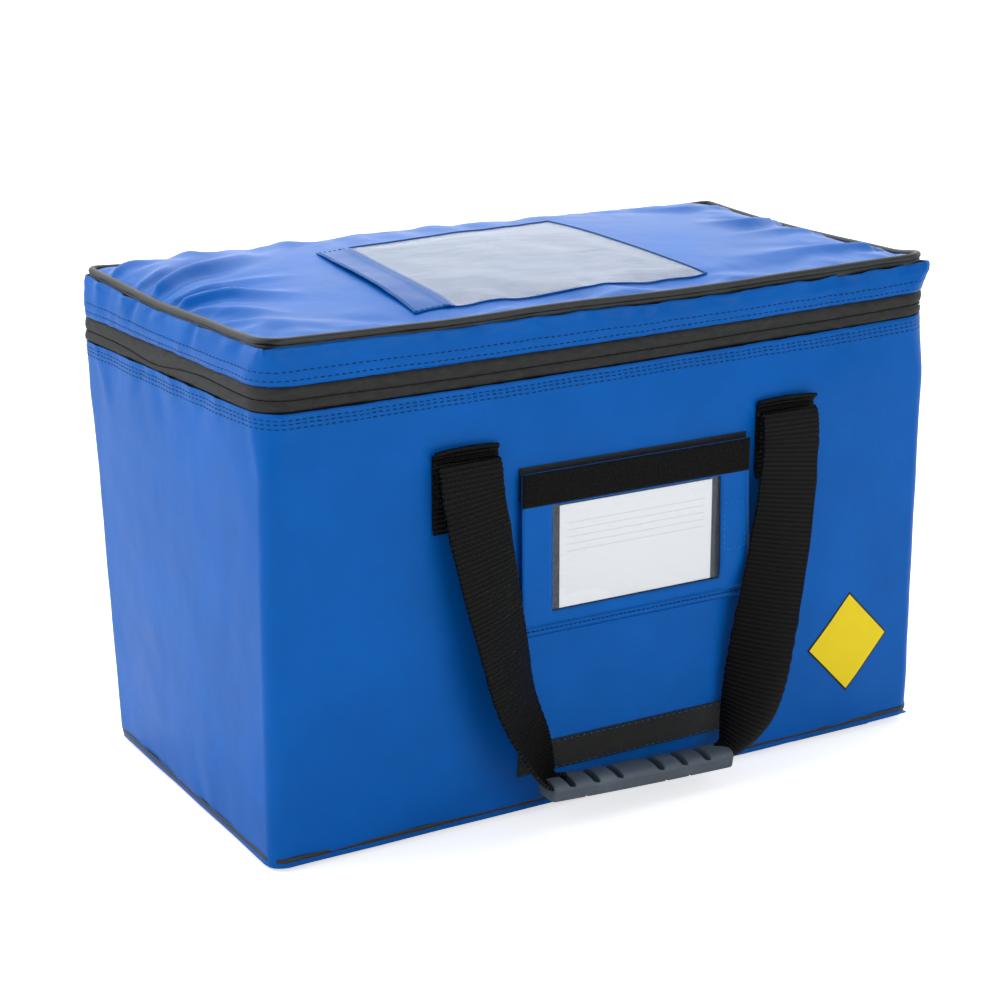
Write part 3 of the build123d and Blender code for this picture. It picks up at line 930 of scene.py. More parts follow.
# Shift in mm of each corner, at heights in m: front left, front right, back left, back right.
CORNERS = ("fl", "fr", "bl", "br")
CORNER_SHIFTS = {
    0.0: ((-5.0, 1.0, -1.5), (0.0, 1.0, 0.5), (-1.5, -1.0, 0.0), (0.0, -1.0, 0.0)),
    0.2: ((-3.6, 0.2, -1.8), (-0.4, 1.0, 1.0), (-9.0, 0.5, -1.5), (0.0, 0.2, 0.0)),
    0.262: ((-3.4, -0.5, -2.6), (-0.3, -0.4, 2.0), (-12.4, 1.5, -5.0), (0.0, 1.0, 0.0)),
    0.278: ((-3.2, -0.8, -3.0), (-0.3, -0.6, 2.5), (-12.6, 1.5, -6.0), (0.0, 1.4, 0.0)),
    0.304: ((-2.5, 0.0, 0.5), (-1.0, 1.4, 3.6), (-8.4, 1.2, 1.6), (0.0, 1.5, 0.5)),
}


def settle(points: Points) -> Points:
    """Leans and sags soft parts the way the real bag stands: each corner has its own shift.

    Args:
        points: Points of the regular bag, any shape ending in 3.

    Returns:
        The points of the bag as it stands.
    """
    shape = points.shape
    p = points.reshape(-1, 3).copy()
    u = np.clip(p[:, 0] / 0.457 + 0.5, 0, 1)
    v = np.clip(p[:, 1] / 0.241 + 0.5, 0, 1)
    levels = sorted(CORNER_SHIFTS)
    tables = {}
    for level in levels:
        c = {corner: np.array(shift) / 1000 for corner, shift in zip(CORNERS, CORNER_SHIFTS[level])}
        right_front = np.where(u > 0.96, smooth(-0.084, -0.119, p[:, 1]), 1 - v)
        front = c["fl"] * (1 - u)[:, None] + c["fr"] * u[:, None]
        back = c["bl"] * (1 - u)[:, None] + c["br"] * u[:, None]
        weight = np.where(u > 0.96, right_front, 1 - v)[:, None]
        tables[level] = front * weight + back * (1 - weight)
    z = np.clip(p[:, 2], levels[0], levels[-1])
    shift = np.zeros_like(p)
    for low, high in zip(levels, levels[1:]):
        inside = (z >= low) & (z <= high)
        t = ((z - low) / (high - low))[:, None]
        shift[inside] = (tables[low] * (1 - t) + tables[high] * t)[inside]
    sag = -0.0022 * (1 - (2 * u - 1) ** 2) * np.exp(-((p[:, 2] - 0.276) / 0.012) ** 2) * (1 - v)
    return (p + shift + np.c_[np.zeros(len(p)), np.zeros(len(p)), sag]).reshape(shape)


@dataclass(frozen=True)
class Gathers:
    """Small puckers that run away from a seam."""

    seed: int
    spacing: float
    depth: float
    length: float

    def at(self, along: Points, away: Points) -> Points:
        """Height of the puckers.

        Args:
            along: Distance along the seam.
            away: Distance from the seam.

        Returns:
            Their height, in metres.
        """
        rng = np.random.default_rng(self.seed)
        total = np.zeros(np.broadcast(along, away).shape)
        reach = OUTLINE.reach
        for start in np.arange(-reach, reach, self.spacing):
            place = start + rng.uniform(-0.4, 0.4) * self.spacing
            height = self.depth * rng.uniform(0.25, 1.0) * rng.choice([-1.0, 1.0])
            width = self.spacing * rng.uniform(0.12, 0.3)
            length = self.length * rng.uniform(0.5, 1.5)
            lean = rng.uniform(-0.5, 0.5)
            near = np.abs(along - place) < 5 * width + 0.03
            if not near.any():
                continue
            offset = (along - place - lean * away) / (width * (1 + away / length))
            total = total + np.where(near, height * np.exp(-offset ** 2 - (away / length) ** 1.3), 0.0)
        return total


def stood(plan: Surface, offset: Points, height: Points, shape: tuple = (-1,)) -> Surface:
    """Points off the outline on the bag as it stands, and their outward directions.

    Args:
        plan: Places and directions that the outline gives.
        offset: How far outside the outline each point is.
        height: Height of each point.
        shape: Shape of the grid, without its last axis.

    Returns:
        Points and outward directions.
    """
    spot, out = plan
    points = settle(np.c_[spot + out * offset[:, None], height])
    return points.reshape(*shape, 3), np.c_[out, np.zeros(len(out))].reshape(*shape, 3)


def zip_radius(along: Points) -> Points:
    """Radius of the corners the zip goes round: wide at the front, tighter where it ends at the back."""
    return np.where(np.abs(along) > OUTLINE.half_x + OUTLINE.half_y, 0.0135, 0.0195)


def corner_radius(along: Points, height: Points) -> Points:
    """Radius of the bag's corners: tight low down and at the lid's edge, wide where the zip goes round."""
    wide = zip_radius(along) + 0.0005
    edge = np.where(wide < 0.016, 0.011, 0.006)
    low = 0.0105 + (wide - 0.0105) * smooth(0.225, 0.268, height)
    return np.where(np.asarray(height) > 0.276, wide - (wide - edge) * smooth(0.284, 0.302, height), low)


def wall_surface(along: Points, height: Points) -> Surface:
    """Outer surface of the body's wrap of cloth.

    Args:
        along: Distances along the outline.
        height: Heights, of the same shape.

    Returns:
        Points and outward directions.
    """
    flat_s, flat_z = np.ravel(along), np.ravel(height)
    plan = OUTLINE.at(flat_s, corner_radius(flat_s, flat_z))
    swell = OUTLINE.swell(flat_s, flat_z)
    seam = Gathers(7, 0.019, 0.0015, 0.02).at(flat_s, np.maximum(0.268 - flat_z, 0.0))
    foot = Gathers(11, 0.033, 0.0008, 0.018).at(flat_s, np.maximum(flat_z - 0.006, 0.0))
    drape = ripple(flat_s, flat_z * 0.6, 3.7, 16.0) * 0.0008
    drape += ripple(flat_s * 1.3, flat_z, 8.1, 38.0) * 0.00035
    calm = 1 - 0.85 * smooth(0.16, 0.1, np.abs(flat_s - 0.004)) * smooth(0.25, 0.225, flat_z)
    offset = swell + (drape - 0.0005) * calm + np.maximum(seam, -0.0007) + np.maximum(foot, -0.0006)
    return stood(plan, offset, flat_z, np.shape(along))


def front_surface(x: Points, z: Points, lift: float = 0.0) -> Points:
    """Points on the front wall at a place, raised from the cloth by lift.

    Args:
        x: Places along the bag.
        z: Heights.
        lift: Distance off the cloth.

    Returns:
        The points.
    """
    spot, out = wall_surface(np.asarray(x, float), np.asarray(z, float))
    made = spot + out * lift
    made[..., 0] = x
    made[..., 2] = z
    return made


# Body

@dataclass
class Body:
    """The wrap of cloth, its base and what keeps its shape.

    Args:
        finishes: Shared finishes.
        wall_top: Height of the wall's top edge.
        wall_foot: Height of the wall's lower edge.
        seam_rows: Heights of the rows of thread under the zip.
    """

    finishes: Finishes
    wall_top: float = 0.2687
    wall_foot: float = 0.0086
    seam_rows: tuple = (0.265, 0.2627, 0.26)

    def build(self) -> None:
        """Builds every piece of the body."""
        self.wall()
        self.base()
        self.insulation()
        self.seam_thread()

    def wall(self) -> None:
        """The wrap of cloth round all four sides."""
        along = OUTLINE.loop(380)
        rows = np.concatenate([np.linspace(0, 0.06, 14, endpoint=False),
                               np.linspace(0.06, 0.8, 38, endpoint=False), np.linspace(0.8, 1.0, 22)])
        hx = OUTLINE.half_x
        droop = 0.0056 * np.exp(-(np.abs(along + hx) / 0.034) ** 2)
        wave = ripple(along, 0.0, 5.5, 22.0) * 0.0013
        foot = self.wall_foot + wave - droop
        s, share = np.meshgrid(along, rows)
        z = foot[None, :] + (self.wall_top - foot[None, :]) * share
        points, _ = wall_surface(s, z)
        piece = sheet_piece("bag_wall", points, np.stack([s, z], -1), closed=True)
        hang(piece, self.finishes.cloth, "bag", "outer_wall", thick=CLOTH, slot="coated_cloth")

    def ring(self, name: str, inset: float, low: float, high: float, thick: float, seed: float,
             wave: float) -> Piece:
        """A band under the wall's foot that follows the outline.

        Args:
            name: Name of the piece.
            inset: Distance inside the outline.
            low: Height of its lower edge.
            high: Height of its upper edge.
            thick: Its thickness.
            seed: Seed of its waves.
            wave: Depth of its waves.

        Returns:
            The new object.
        """
        along = OUTLINE.loop(260)
        rows = np.linspace(low, high, 4)
        s, z = np.meshgrid(along, rows)
        spot, out = OUTLINE.at(along)
        out_by = -inset + ripple(along, 0.0, seed, 18.0) * wave
        plan = spot + out * out_by[:, None]
        points = np.zeros((*s.shape, 3))
        points[..., 0] = plan[None, :, 0]
        points[..., 1] = plan[None, :, 1]
        points[..., 2] = z + (ripple(along, 0.0, seed + 2, 20.0) * wave * 0.5)[None, :]
        piece = sheet_piece(name, settle(points), np.stack([s, z], -1), closed=True)
        apply_modifier(piece, "SOLIDIFY", thickness=thick, offset=-1.0)
        return piece

    def base(self) -> None:
        """Blue base band, black edge tape that partly stands in for the shade in the gap under the wall's foot,
        base cloth, board and skids.
        """
        band = self.ring("base_band", 0.0006, 0.0036, 0.0068, 0.0014, 2.2, 0.0005)
        hang(band, self.finishes.cloth, "bag", "base_binding")
        # The black edge tape is partly a real binding and partly painted shade: a dark band put where the gap
        # under the wall's foot falls into shade.
        tape = self.ring("base_edge_tape_and_gap_shade", 0.0002, 0.0066, 0.0092, 0.0012, 4.4, 0.0004)
        hang(tape, self.finishes.piping, "bag")
        for name, node, low, high, inset, material in (
                ("base_cloth", "base_panel", 0.0036, 0.0047, 0.003, self.finishes.cloth),
                ("base_stiffener", "base_board", 0.0048, 0.0077, 0.005, self.finishes.board)):
            x, y = OUTLINE.half_x - inset, OUTLINE.half_y - inset
            piece = rounded_block(name, (-x, -y, low), (x, y, high), 0.0009, 2)
            hang(piece, material, "bag", node)
        for end in ("left", "right"):
            low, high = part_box(f"skid_{end}")
            piece = rounded_block(f"skid_{end}_strip", low, high, 0.0011, 3)
            hang(piece, self.finishes.skid, "bag", f"skid_{end}")

    def insulation(self) -> None:
        """Foam panels behind the cloth, a little smaller than the space they fill."""
        for node in ("foam_base", "foam_left", "foam_right", "foam_front", "foam_back"):
            low, high = (np.array(c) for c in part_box(node))
            limit = np.array([OUTLINE.half_x - 0.006, OUTLINE.half_y - 0.0055, 1.0])
            low, high = np.maximum(low, -limit), np.minimum(high, limit)
            if node != "foam_base":
                high[2] -= 0.0105
            piece = rounded_block(f"{node}_panel", low, high, 0.002, 2)
            for vertex in piece.data.vertices:
                vertex.co = settle(np.array(tuple(vertex.co)))
            hang(piece, self.finishes.foam, "bag", node)
        paint_mesh(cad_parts["inner_liner"].data, self.finishes.lining)

    def seam_thread(self) -> None:
        """Three rows of thread under the zip, all the way round."""
        along = OUTLINE.loop(420)
        rows = []
        for height in self.seam_rows:
            z = height + ripple(along, 0.0, height * 50, 10.0) * 0.0005
            points, out = wall_surface(along, z)
            rows.append(stitches(points, out))
        sew("wall_seam_thread", rows, self.finishes.thread, "bag")


def rounded_block(name: str, low: Sequence[float], high: Sequence[float], radius: float,
                  segments: int) -> Piece:
    """A block with rounded edges, modelled from a cube.

    Args:
        name: Name of the piece.
        low: Lowest corner.
        high: Highest corner.
        radius: Radius of its edges.
        segments: Facets round each edge.

    Returns:
        The new object, its place in its mesh.
    """
    bpy.ops.object.select_all(action="DESELECT")
    bpy.ops.mesh.primitive_cube_add(size=1.0, location=tuple((a + b) / 2 for a, b in zip(low, high)))
    piece = bpy.context.object
    piece.name = name
    piece.scale = tuple(b - a for a, b in zip(low, high))
    bpy.ops.object.transform_apply(location=True, rotation=True, scale=True)
    apply_modifier(piece, "BEVEL", width=radius, segments=segments, limit_method="ANGLE")
    return piece


# Zip

@dataclass
class Zip:
    """Zip between wall and lid on three sides, with its chain, slider and the cloth hinge behind.

    Args:
        finishes: Shared finishes.
        height: Height of the zip's middle line.
        back: Where the zip ends on both sides, along Y.
        tape: Width of the hinge on either side of the middle line.
        slot: Gap between the tapes on the right side, where the slider runs.
        slot_from: Where along the outline that gap begins.
        tooth_pitch: From one tooth to the next on the same tape.
    """

    finishes: Finishes
    height: float = 0.276
    back: float = 0.1205
    tape: float = 0.018
    slot: float = 0.00075
    slot_from: float = 0.24
    tooth_pitch: float = 0.0026

    def build(self) -> None:
        """Builds tapes, chains, hinge and slider."""
        for upper in (False, True):
            self.tape_half(upper)
            self.chain(upper)
        self.hinge()
        for node in ("zip_slider", "zip_pin", "zip_pull"):
            paint_mesh(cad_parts[node].data, self.finishes.metal)

    def run(self, count: int) -> Points:
        """Distances along the outline that the zip covers."""
        reach = OUTLINE.half_x + OUTLINE.half_y + self.back
        along = OUTLINE.loop(count)
        return along[np.abs(along) <= reach]

    def middle(self, along: Points, away: Points) -> Surface:
        """Outer surface of the tapes near the zip's middle line.

        Args:
            along: Distances along the outline.
            away: Heights above the middle line.

        Returns:
            Points and outward directions.
        """
        right = smooth(OUTLINE.half_x + 0.012, OUTLINE.half_x + 0.03, along)
        soft = 1 - right
        wave = ripple(along, away * 3.0, 1.9, 17.0) * 0.0009
        left = along + OUTLINE.half_x + OUTLINE.half_y
        dip = 0.0012 * np.exp(-((left - 0.055) / 0.03) ** 2) - 0.0034 * np.exp(-((left + 0.018) / 0.03) ** 2)
        sway = (ripple(along, 0.0, 6.2, 9.0) * 0.001 + dip) * soft
        roll = 0.0011 * np.sin(np.clip(np.abs(away) / 0.0085, 0, 1) * math.pi) ** 0.8 - 0.0002
        tuck = 0.0026 * smooth(0.0062, 0.0082, np.abs(away + sway))
        offset = -0.0009 + (roll + wave) * soft + 0.0012 * right - tuck
        return stood(OUTLINE.at(along, zip_radius(along)), offset, self.height + away + sway)

    def tape_half(self, upper: bool) -> None:
        """One tape: from the zip's middle line to behind the lid's skirt or the wall."""
        along = self.run(520)
        sign = 1.0 if upper else -1.0
        rows = np.array([0.0, 0.0004, 0.0012, 0.0024, 0.004, 0.0056, 0.0072, 0.009, 0.0115, 0.0145, 0.0178])
        gap = np.where(along > self.slot_from, self.slot, 0.00028)
        grid, uv = [], []
        for row in rows:
            points, _ = self.middle(along, sign * (row + gap))
            grid.append(points)
            uv.append(np.c_[along, np.full(len(along), sign * row)])
        body = "lid" if upper else "bag"
        piece = sheet_piece(f"zip_tape_{body}", np.array(grid), np.array(uv), flip=not upper)
        hang(piece, self.finishes.zip_tape, "lid" if upper else "bag",
             f"zip_tape_{'upper' if upper else 'lower'}", thick=0.0008, slot="tape")

    def chain(self, upper: bool) -> None:
        """The row of teeth on one tape, and the fine edge that shows from outside."""
        sign = 1.0 if upper else -1.0
        along = self.run(900)
        centre, out = self.middle(along, np.full(len(along), sign * 0.0009))
        run = distances(centre)
        verts, faces = [], []
        cell = [(-1, 0), (1, 0), (1, 1), (-1, 1)]
        box = ((0, 1, 2, 3), (7, 6, 5, 4), (0, 4, 5, 1), (1, 5, 6, 2), (2, 6, 7, 3), (3, 7, 4, 0))
        for n in range(int(run[-1] / self.tooth_pitch) - 1):
            place = (n + (0.25 if upper else 0.75)) * self.tooth_pitch
            on_slot = np.interp(place, run, along) > self.slot_from
            middle = sample(centre, run, place)
            normal = sample(out, run, place)
            normal /= np.linalg.norm(normal)
            way = sample(centre, run, place + 0.001) - middle
            way /= max(np.linalg.norm(way), 1e-9)
            heights = (sign * (-0.0009 if on_slot else -0.0022) + sign * 0.0004, sign * 0.0013)
            start = len(verts)
            verts.extend(middle + normal * depth + way * side * width + np.array([0, 0, heights[far]])
                         for depth, width in ((-0.0009, 0.00045), (-0.003, 0.00058)) for side, far in cell)
            faces.extend([start + i for i in face] for face in box)
        cord_line, _ = self.middle(along, np.full(len(along), sign * 0.003))
        cord_points, cord_faces = tube(cord_line - out * 0.0016, 0.0008, 6, closed=False)
        piece = gather(f"zip_chain_{'lid' if upper else 'bag'}",
                       [(np.array(verts), faces), (cord_points, cord_faces)])
        edit(piece, bpy.ops.mesh.normals_make_consistent)
        hang(piece, self.finishes.chain, "lid" if upper else "bag",
             f"zip_teeth_{'upper' if upper else 'lower'}", shade=False)

    def hinge(self) -> None:
        """The cloth hinge at the back."""
        along = OUTLINE.loop(420)
        reach = OUTLINE.half_x + OUTLINE.half_y + self.back
        back = along[np.abs(along) > reach]
        order = np.concatenate([back[back > 0], back[back < 0]])
        grid, uv = [], []
        plan = OUTLINE.at(order, zip_radius(order))
        run = np.where(order > 0, order, order + 2 * OUTLINE.reach)
        for row in np.linspace(-self.tape, self.tape, 19):
            dip = -0.0003 - 0.0007 * math.exp(-(row / 0.004) ** 2) - 0.0024 * smooth(0.0064, 0.0084, abs(row))
            grid.append(stood(plan, np.full(len(order), dip), np.full(len(order), self.height + row))[0])
            uv.append(np.c_[run, np.full(len(order), row)])
        piece = sheet_piece("cloth_hinge", np.array(grid), np.array(uv))
        apply_modifier(piece, "SOLIDIFY", thickness=0.0009, offset=-1.0)
        dress(piece, self.finishes.cloth)
        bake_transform(piece)
        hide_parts("hinge_strip_lower", "hinge_strip_upper")


# Lid

@dataclass
class Lid:
    """The padded lid: skirt, piping, crowned top and what is under it.

    Args:
        finishes: Shared finishes.
        edge: Height of the piping's middle.
        crown: How far the top stands above the piping.
        inset: From the outline in to the piping's middle.
        pipe: Half the piping's thickness.
        skirt_foot: Height of the skirt's lower edge.
        thread_rows: The rows of thread, as shares of the skirt's height.
        spare: How much too large the top is cut, as a share.
        slack: How far the cloth simulation moved the top, as a grid.
        folds: Points along each crest, its height and its half width at start and end.
        long_rise: Height of the crown along the lid, as places and shares.
        cross_rise: Height of the crown across the lid.
    """

    finishes: Finishes
    edge: float = 0.3032
    crown: float = 0.01
    inset: float = 0.003
    pipe: float = 0.0022
    skirt_foot: float = 0.2833
    thread_rows: tuple = (0.14, 0.37)
    spare: float = 0.009
    slack: Optional[Points] = None
    folds: tuple = (
        (((-0.229, 0.083), (-0.207, 0.096), (-0.186, 0.104)), 0.003, 0.003, 0.006),
        (((-0.226, 0.025), (-0.196, 0.047), (-0.166, 0.063), (-0.128, 0.086)), 0.0052, 0.0036, 0.0085),
        (((-0.226, -0.007), (-0.198, -0.008), (-0.18, -0.015), (-0.15, -0.031)), 0.0042, 0.0032, 0.0085),
        (((-0.226, -0.02), (-0.205, -0.046), (-0.18, -0.068)), 0.0022, 0.003, 0.009),
        (((-0.226, 0.004), (-0.196, 0.012), (-0.165, 0.016), (-0.135, 0.012)), 0.0018, 0.0025, 0.007),
        (((-0.226, 0.048), (-0.205, 0.062), (-0.19, 0.075)), 0.0018, 0.0024, 0.005),
        (((-0.222, -0.06), (-0.205, -0.072), (-0.18, -0.09)), 0.0012, 0.003, 0.008),
        (((-0.168, 0.116), (-0.166, 0.104), (-0.16, 0.092)), 0.0026, 0.006, 0.008),
        (((-0.103, 0.116), (-0.103, 0.1), (-0.1, 0.085)), 0.0022, 0.009, 0.01),
        (((0.224, 0.03), (0.189, 0.018), (0.15, 0.03)), 0.0034, 0.0035, 0.009),
        (((0.222, -0.02), (0.185, -0.012), (0.14, -0.02)), 0.0018, 0.0035, 0.009),
        (((0.22, -0.08), (0.18, -0.072), (0.11, -0.064)), 0.0032, 0.004, 0.011),
        (((0.222, 0.085), (0.18, 0.08), (0.145, 0.09)), 0.002, 0.004, 0.009),
    )
    long_rise: tuple = ((-1, 0.0), (-0.97, 0.34), (-0.9, 0.56), (-0.72, 0.8), (-0.45, 0.95), (0.0, 1.0),
                        (0.45, 0.97), (0.72, 0.8), (0.9, 0.45), (0.97, 0.18), (1, 0.0))
    cross_rise: tuple = ((-1, 0.0), (-0.94, 0.11), (-0.75, 0.21), (-0.5, 0.42), (-0.2, 0.68), (0.12, 0.9),
                         (0.45, 1.0), (0.68, 0.97), (0.84, 0.84), (0.95, 0.56), (1, 0.0))

    def build(self) -> None:
        """Builds every piece of the lid."""
        self.relax()
        self.skirt()
        self.piping()
        self.top()
        self.inside()

    @property
    def halves(self) -> tuple[float, float]:
        """Half the length and width inside the piping's middle line."""
        return OUTLINE.half_x - self.inset, OUTLINE.half_y - self.inset

    def pipe_height(self, along: Points) -> Points:
        """Height of the piping's middle, which waves gently and rises to the corners."""
        wave = ripple(along, 0.0, 9.3, 11.0) * 0.001 + ripple(along, 0.0, 2.3, 30.0) * 0.0003
        s = np.abs(along)
        hx, hy = OUTLINE.half_x, OUTLINE.half_y
        near_corner = np.minimum(np.abs(s - hx), np.abs(s - hx - 2 * hy))
        return self.edge + wave + 0.0022 * np.exp(-(near_corner / 0.05) ** 1.5) - 0.0008

    def skirt_surface(self, along: Points, share: Points) -> Surface:
        """Outer surface of the skirt; share runs from its foot at 0 to the piping at 1.

        Args:
            along: Distances along the outline.
            share: Shares of the way up.

        Returns:
            Points and outward directions.
        """
        flat_s, flat_t = np.ravel(along), np.ravel(share)
        plan = OUTLINE.at(flat_s, corner_radius(flat_s, self.skirt_foot + 0.018 * flat_t))
        gap = smooth(-0.2, 0.05, flat_s) * (1 - smooth(0.3, 0.4, flat_s))
        top = self.pipe_height(flat_s) - 0.002 - 0.0014 * gap
        scallop = np.abs(ripple(flat_s, 0.0, 4.9, 34.0)) * (0.0006 + 0.0016 * gap)
        z = self.skirt_foot + (top - scallop - self.skirt_foot) * flat_t
        pucker = Gathers(31, 0.018, 0.0022, 0.008).at(flat_s, (1 - flat_t) * 0.017)
        foot = np.maximum(Gathers(37, 0.015, 0.0009, 0.006).at(flat_s, flat_t * 0.017), -0.0005)
        belly = 0.0011 * np.sin(math.pi * flat_t) - 0.001 * flat_t ** 3
        offset = 0.0002 + belly + pucker + foot + ripple(flat_s, flat_t * 0.5, 7.7, 13.0) * 0.0005
        return stood(plan, offset, z, np.shape(along))

    def skirt(self) -> None:
        """The band of cloth between piping and zip, with its two rows of thread."""
        along = OUTLINE.loop(430)
        rows = np.linspace(0, 1, 15)
        s, t = np.meshgrid(along, rows)
        points, _ = self.skirt_surface(s, t)
        piece = sheet_piece("lid_skirt_cloth", points, np.stack([s, t * 0.0175], -1), closed=True)
        hang(piece, self.finishes.cloth, "lid", "lid_skirt", thick=CLOTH, slot="coated_cloth")
        rows = []
        fine = OUTLINE.loop(520)
        for share in self.thread_rows:
            wander = np.full(len(fine), share) + ripple(fine, 0.0, share, 8.0) * 0.02
            path, out = self.skirt_surface(fine, wander)
            rows.append(stitches(path, out))
        sew("lid_skirt_thread", rows, self.finishes.thread, "lid")

    def pipe_line(self, along: Points) -> Points:
        """Middle line of the piping."""
        spot, out = OUTLINE.at(along, zip_radius(along) - 0.003)
        sway = ripple(along, 0.0, 3.1, 14.0) * 0.0006
        return np.c_[spot - out * (self.inset + sway)[:, None], self.pipe_height(along)]

    def piping(self) -> None:
        """Black piping and its flange in the seam."""
        along = OUTLINE.loop(420)
        line = self.pipe_line(along)
        bar = tube(settle(line), self.pipe, 12)
        spot, out = OUTLINE.at(along, zip_radius(along) - 0.0045)
        grid = []
        for drop, deeper in ((0.0, 0.0004), (0.0022, -0.0008), (0.005, -0.001)):
            grid.append(settle(np.c_[spot - out * (self.inset + deeper), line[:, 2] - drop]))
        flange = sheet_piece("lid_piping_flange", np.array(grid)[::-1],
                             np.zeros((3, len(along), 2)), closed=True)
        hang(flange, self.finishes.piping, "lid", thick=0.0008)
        piece = mesh_piece("lid_piping_cord", *bar)
        hang(piece, self.finishes.piping, "lid", "lid_piping")

    def rise(self, x: Points, y: Points) -> Points:
        """How far the top stands above the piping's regular height, folds and all.

        Args:
            x: Places along the bag.
            y: Places across it.

        Returns:
            The heights.
        """
        hx, hy = self.halves
        inside = np.clip(np.minimum(hx - np.abs(x), hy - np.abs(y)), 0, None)
        dome = self.crown * eased(self.long_rise, x / hx) * eased(self.cross_rise, y / hy)
        folds = np.zeros_like(x)
        for crest, height, narrow, broad in self.folds:
            line = curve_through(crest, 14)
            away, share = np.full_like(x, 9.0), np.zeros_like(x)
            for k, (here, there) in enumerate(zip(line, line[1:])):
                step = there - here
                t = np.clip(((x - here[0]) * step[0] + (y - here[1]) * step[1]) / step.dot(step), 0, 1)
                gap = np.hypot(x - here[0] - t * step[0], y - here[1] - t * step[1])
                share = np.where(gap < away, (k + t) / 13.0, share)
                away = np.minimum(gap, away)
            width = narrow + (broad - narrow) * share
            away = away / width
            fade = smooth(-0.15, 0.12, share) * (1 - smooth(0.45, 1.05, share))
            folds += height * fade * (np.exp(-away ** 1.7) - 0.35 * np.exp(-((away - 2.0) / 1.0) ** 2))
        return dome + folds * smooth(0.0, 0.006, inside)

    def relax(self) -> None:
        """Lets the top cloth, cut a little too large, buckle between its sewn edge and the padding."""
        columns, rows = 125, 67
        half_x, half_y = self.halves
        x, y = np.meshgrid(np.linspace(-half_x, half_x, columns), np.linspace(-half_y, half_y, rows))
        start = np.stack([x, y, self.top_height(x, y)], -1)
        sheet = sheet_piece("lid_top_trial", start, np.stack([x, y], -1))
        edge = np.minimum(half_x - np.abs(x), half_y - np.abs(y)).ravel()
        hold = np.clip(1 - edge / 0.006, 0, 1) + 0.35 * smooth(0.03, 0.07, edge)
        group = sheet.vertex_groups.new(name="sewn")
        for index, weight in enumerate(hold):
            group.add([index], float(min(weight, 1.0)), "REPLACE")
        cloth = sheet.modifiers.new("cloth", "CLOTH")
        for name, value in {"quality": 6, "mass": 0.2, "tension_stiffness": 12.0, "shear_stiffness": 4.0,
                            "compression_stiffness": 12.0, "bending_stiffness": 0.05}.items():
            setattr(cloth.settings, name, value)
        cloth.settings.vertex_group_mass = "sewn"
        cloth.settings.shrink_min = -self.spare
        cloth.settings.effector_weights.gravity = 0.0
        cloth.collision_settings.use_collision = False
        frames = 16
        cloth.point_cache.frame_start, cloth.point_cache.frame_end = 1, frames
        for frame_number in range(1, frames + 1):
            bpy.context.scene.frame_set(frame_number)
        shown = sheet.evaluated_get(bpy.context.evaluated_depsgraph_get())
        moved = np.array([tuple(vertex.co) for vertex in shown.data.vertices])
        lift = (moved[:, 2] - start.reshape(-1, 3)[:, 2]).reshape(rows, columns)
        bpy.context.scene.frame_set(1)
        bpy.data.objects.remove(sheet)
        for _ in range(3):
            lift[1:-1, 1:-1] = (lift[1:-1, 1:-1] * 4 + lift[:-2, 1:-1] + lift[2:, 1:-1] + lift[1:-1, :-2]
                                + lift[1:-1, 2:]) / 8
        fade = (1 - 0.75 * smooth(0.02, 0.06, edge)).reshape(rows, columns)
        self.slack = np.clip(lift, -0.0022, 0.0022) * fade
        log.info("cloth simulation moved the top by %.1f to %.1f mm", lift.min() * 1000, lift.max() * 1000)

    def seam_gathers(self, x: Points, y: Points) -> Points:
        """Small puckers that run in from the piping."""
        hx, hy = self.halves
        dx, dy = np.clip(hx - np.abs(x), 0, None), np.clip(hy - np.abs(y), 0, None)
        short = Gathers(41, 0.0085, 0.001, 0.008)
        long = Gathers(43, 0.027, 0.0014, 0.026)
        ends = np.where(x < 0, -1.0, 1.0) * 0.5 + y
        sides = np.where(y < 0, 0.0, 0.31) + x * 0.98
        total = (short.at(ends, dx) + long.at(ends, dx)) * smooth(0.002, 0.012, dx) * smooth(0.0, 0.02, dy)
        return total + (short.at(sides, dy) * 0.6 + long.at(sides, dy)) * smooth(0.002, 0.012, dy) \
            * smooth(0.0, 0.02, dx)

    def top_height(self, x: Points, y: Points) -> Points:
        """Height of the top cloth before the bag's own lean.

        Args:
            x: Places along the bag.
            y: Places across it.

        Returns:
            The heights.
        """
        hx, hy = OUTLINE.half_x, OUTLINE.half_y
        left = self.pipe_height(-(hx + np.clip(y + hy, 0.0, 2 * hy)))
        right = self.pipe_height(hx + np.clip(y + hy, 0.0, 2 * hy))
        front = self.pipe_height(np.clip(x, -hx, hx))
        back = self.pipe_height(np.clip((hx + 2 * hy) + (hx - x), 0, OUTLINE.reach * 2 - 1e-6))
        weights = [1 / (0.002 + d) ** 2 for d in (x + hx, hx - x, y + hy, hy - y)]
        edge = sum(w * h for w, h in zip(weights, (left, right, front, back))) / sum(weights)
        slack = 0.0
        if self.slack is not None:
            rows, columns = self.slack.shape
            u = np.clip(x / (hx - self.inset) * 0.5 + 0.5, 0, 1) * (columns - 1)
            v = np.clip(y / (hy - self.inset) * 0.5 + 0.5, 0, 1) * (rows - 1)
            i, j = np.minimum(u.astype(int), columns - 2), np.minimum(v.astype(int), rows - 2)
            a, b = u - i, v - j
            slack = (self.slack[j, i] * (1 - a) + self.slack[j, i + 1] * a) * (1 - b) \
                + (self.slack[j + 1, i] * (1 - a) + self.slack[j + 1, i + 1] * a) * b
        inside = smooth(0.0, 0.04, np.minimum(hx - np.abs(x), hy - np.abs(y)))
        return edge - 0.0004 + self.rise(x, y) + self.seam_gathers(x, y) + slack \
            + ripple(x, y, 12.0, 17.0) * 0.0009 * inside

    def surface(self, x: Points, y: Points, lift: float = 0.0) -> Points:
        """Points of the top cloth at places on the lid."""
        return settle(np.stack([x, y, self.top_height(x, y) + lift], -1))

